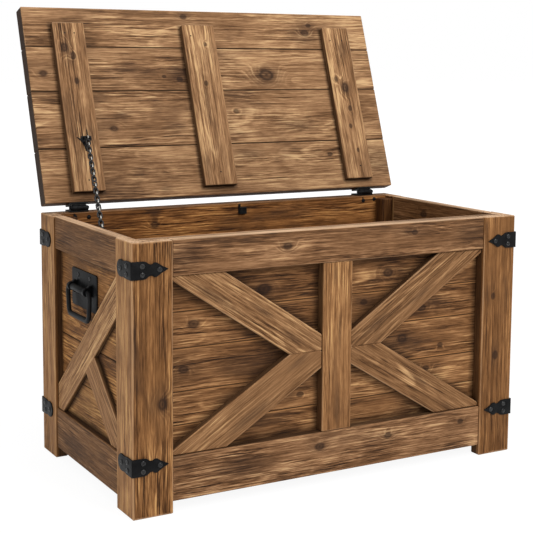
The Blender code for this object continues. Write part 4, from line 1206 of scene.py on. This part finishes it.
studio = {
    "floorSize": 30.0,
    "floorColour": tint(236, 236, 236),
    "world": (0.9, 0.5),
    "white": (1, 1, 1, 1),
    "shadowFade": (0.8, 1.8, 0.16, 0.0),
    "floorGlow": 1.1,
    "lamps": {
        "key": ((0.9, -2.9, 2.5), (0, 0, 0.4), (1.6, 1.6), 62),
        "fill": ((-3.0, -0.9, 1.7), (0, 0, 0.3), (3.0, 2.4), 26),
        "top": ((0.2, -0.2, 3.0), (0, 0, 0.3), (1.8, 1.8), 34),
    },
    "camera": (-0.7695, -1.8028, 0.7554),
    "yawPitchRoll": (29.40, -6.70, 0.415),
    "lens": 83.554,
    "sensor": 36,
    "shiftY": -0.12,
    "clip": (0.05, 80),
}


def makeFloor():
    paper = Finish(bpy.data.materials.new("white_paper"))
    matt = paper.add("ShaderNodeBsdfDiffuse", None, {"Color": studio["floorColour"]})
    glow = paper.add(
        "ShaderNodeEmission", None, {"Color": studio["white"], "Strength": studio["floorGlow"]}
    )
    seen, gloss, through = paper.add(
        "ShaderNodeLightPath", None, (), ("Is Camera Ray", "Is Glossy Ray", "Is Transmission Ray")
    )
    away = paper.add("ShaderNodeVectorMath", {"operation": "LENGTH"}, [paper.place()], "Value")
    shadow = paper.fade(away, *studio["shadowFade"])
    share = seen.atLeast(gloss).atLeast(through) * (1 - shadow)
    blend = paper.add("ShaderNodeMixShader", None, [share, matt, glow])
    paper.add("ShaderNodeOutputMaterial", None, {"Surface": blend}, None)
    mesh = bmesh.new()
    bmesh.ops.create_grid(mesh, x_segments=1, y_segments=1, size=studio["floorSize"])
    floor = newMesh("studio_floor", mesh, (paper.owner,))


def makeLight():
    world = bpy.data.worlds.new("studio")
    bpy.context.scene.world = world
    air = Finish(world)
    level, strength = studio["world"]
    sky = air.add("ShaderNodeBackground", None, {"Color": (level, level, level, 1), "Strength": strength})
    white = air.add("ShaderNodeBackground", None, {"Color": studio["white"]})
    seen = air.add("ShaderNodeLightPath", output="Is Camera Ray")
    blend = air.add("ShaderNodeMixShader", None, [seen, sky, white])
    air.add("ShaderNodeOutputWorld", None, {"Surface": blend}, None)
    for name, (place, target, size, power) in studio["lamps"].items():
        lamp = bpy.data.lights.new(name, "AREA")
        lamp.shape = "RECTANGLE"
        lamp.size, lamp.size_y = size
        lamp.energy = power
        thing = newThing(name, lamp)
        thing.location = place
        thing.rotation_mode = "QUATERNION"
        thing.rotation_quaternion = (Vector(target) - Vector(place)).to_track_quat("-Z", "Y")


def makeCamera():
    camera = bpy.data.cameras.new("camera")
    thing = newThing("camera", camera)
    bpy.context.scene.camera = thing
    yaw, pitch, roll = (math.radians(angle) for angle in studio["yawPitchRoll"])
    turn = Matrix.Rotation(-yaw, 4, "Z") @ Matrix.Rotation(math.pi / 2 + pitch, 4, "X")
    x, y, z = studio["camera"]
    place = Matrix.Translation((leftFace + x, frontFace + y, z))
    thing.matrix_world = place @ turn @ Matrix.Rotation(roll, 4, "Z")
    camera.lens = studio["lens"]
    camera.sensor_width = studio["sensor"]
    camera.shift_y = studio["shiftY"]
    camera.clip_start, camera.clip_end = studio["clip"]


dressWood()
irons = {kind: ironFinish(kind) for kind in ironKinds}
plain = (irons["plain"],)
fitted = (irons["plain"], irons["screws"])
dressIron(irons["plain"])
for row in ("front", "rear"):
    for side in ("left", "right"):
        for level in ("upper", "lower"):
            strapPiece(row, side, level, (irons["hammered"], irons["screws"]))
print("corner straps made")
for side in ("left", "right"):
    handlePieces(side, fitted)
print("handles made")
# the chain's second finish is its painted glint
chainPieces((irons["chain"], irons["worn"]))
chainBracket(fitted)
hingeBarrels(plain)
boltEnds(plain)
nailHeads(plain)
print("chain, bolt ends and nails made")
makeFloor()
makeLight()
makeCamera()
bpy.context.scene.view_settings.view_transform = "Standard"

bpy.context.view_layer.update()
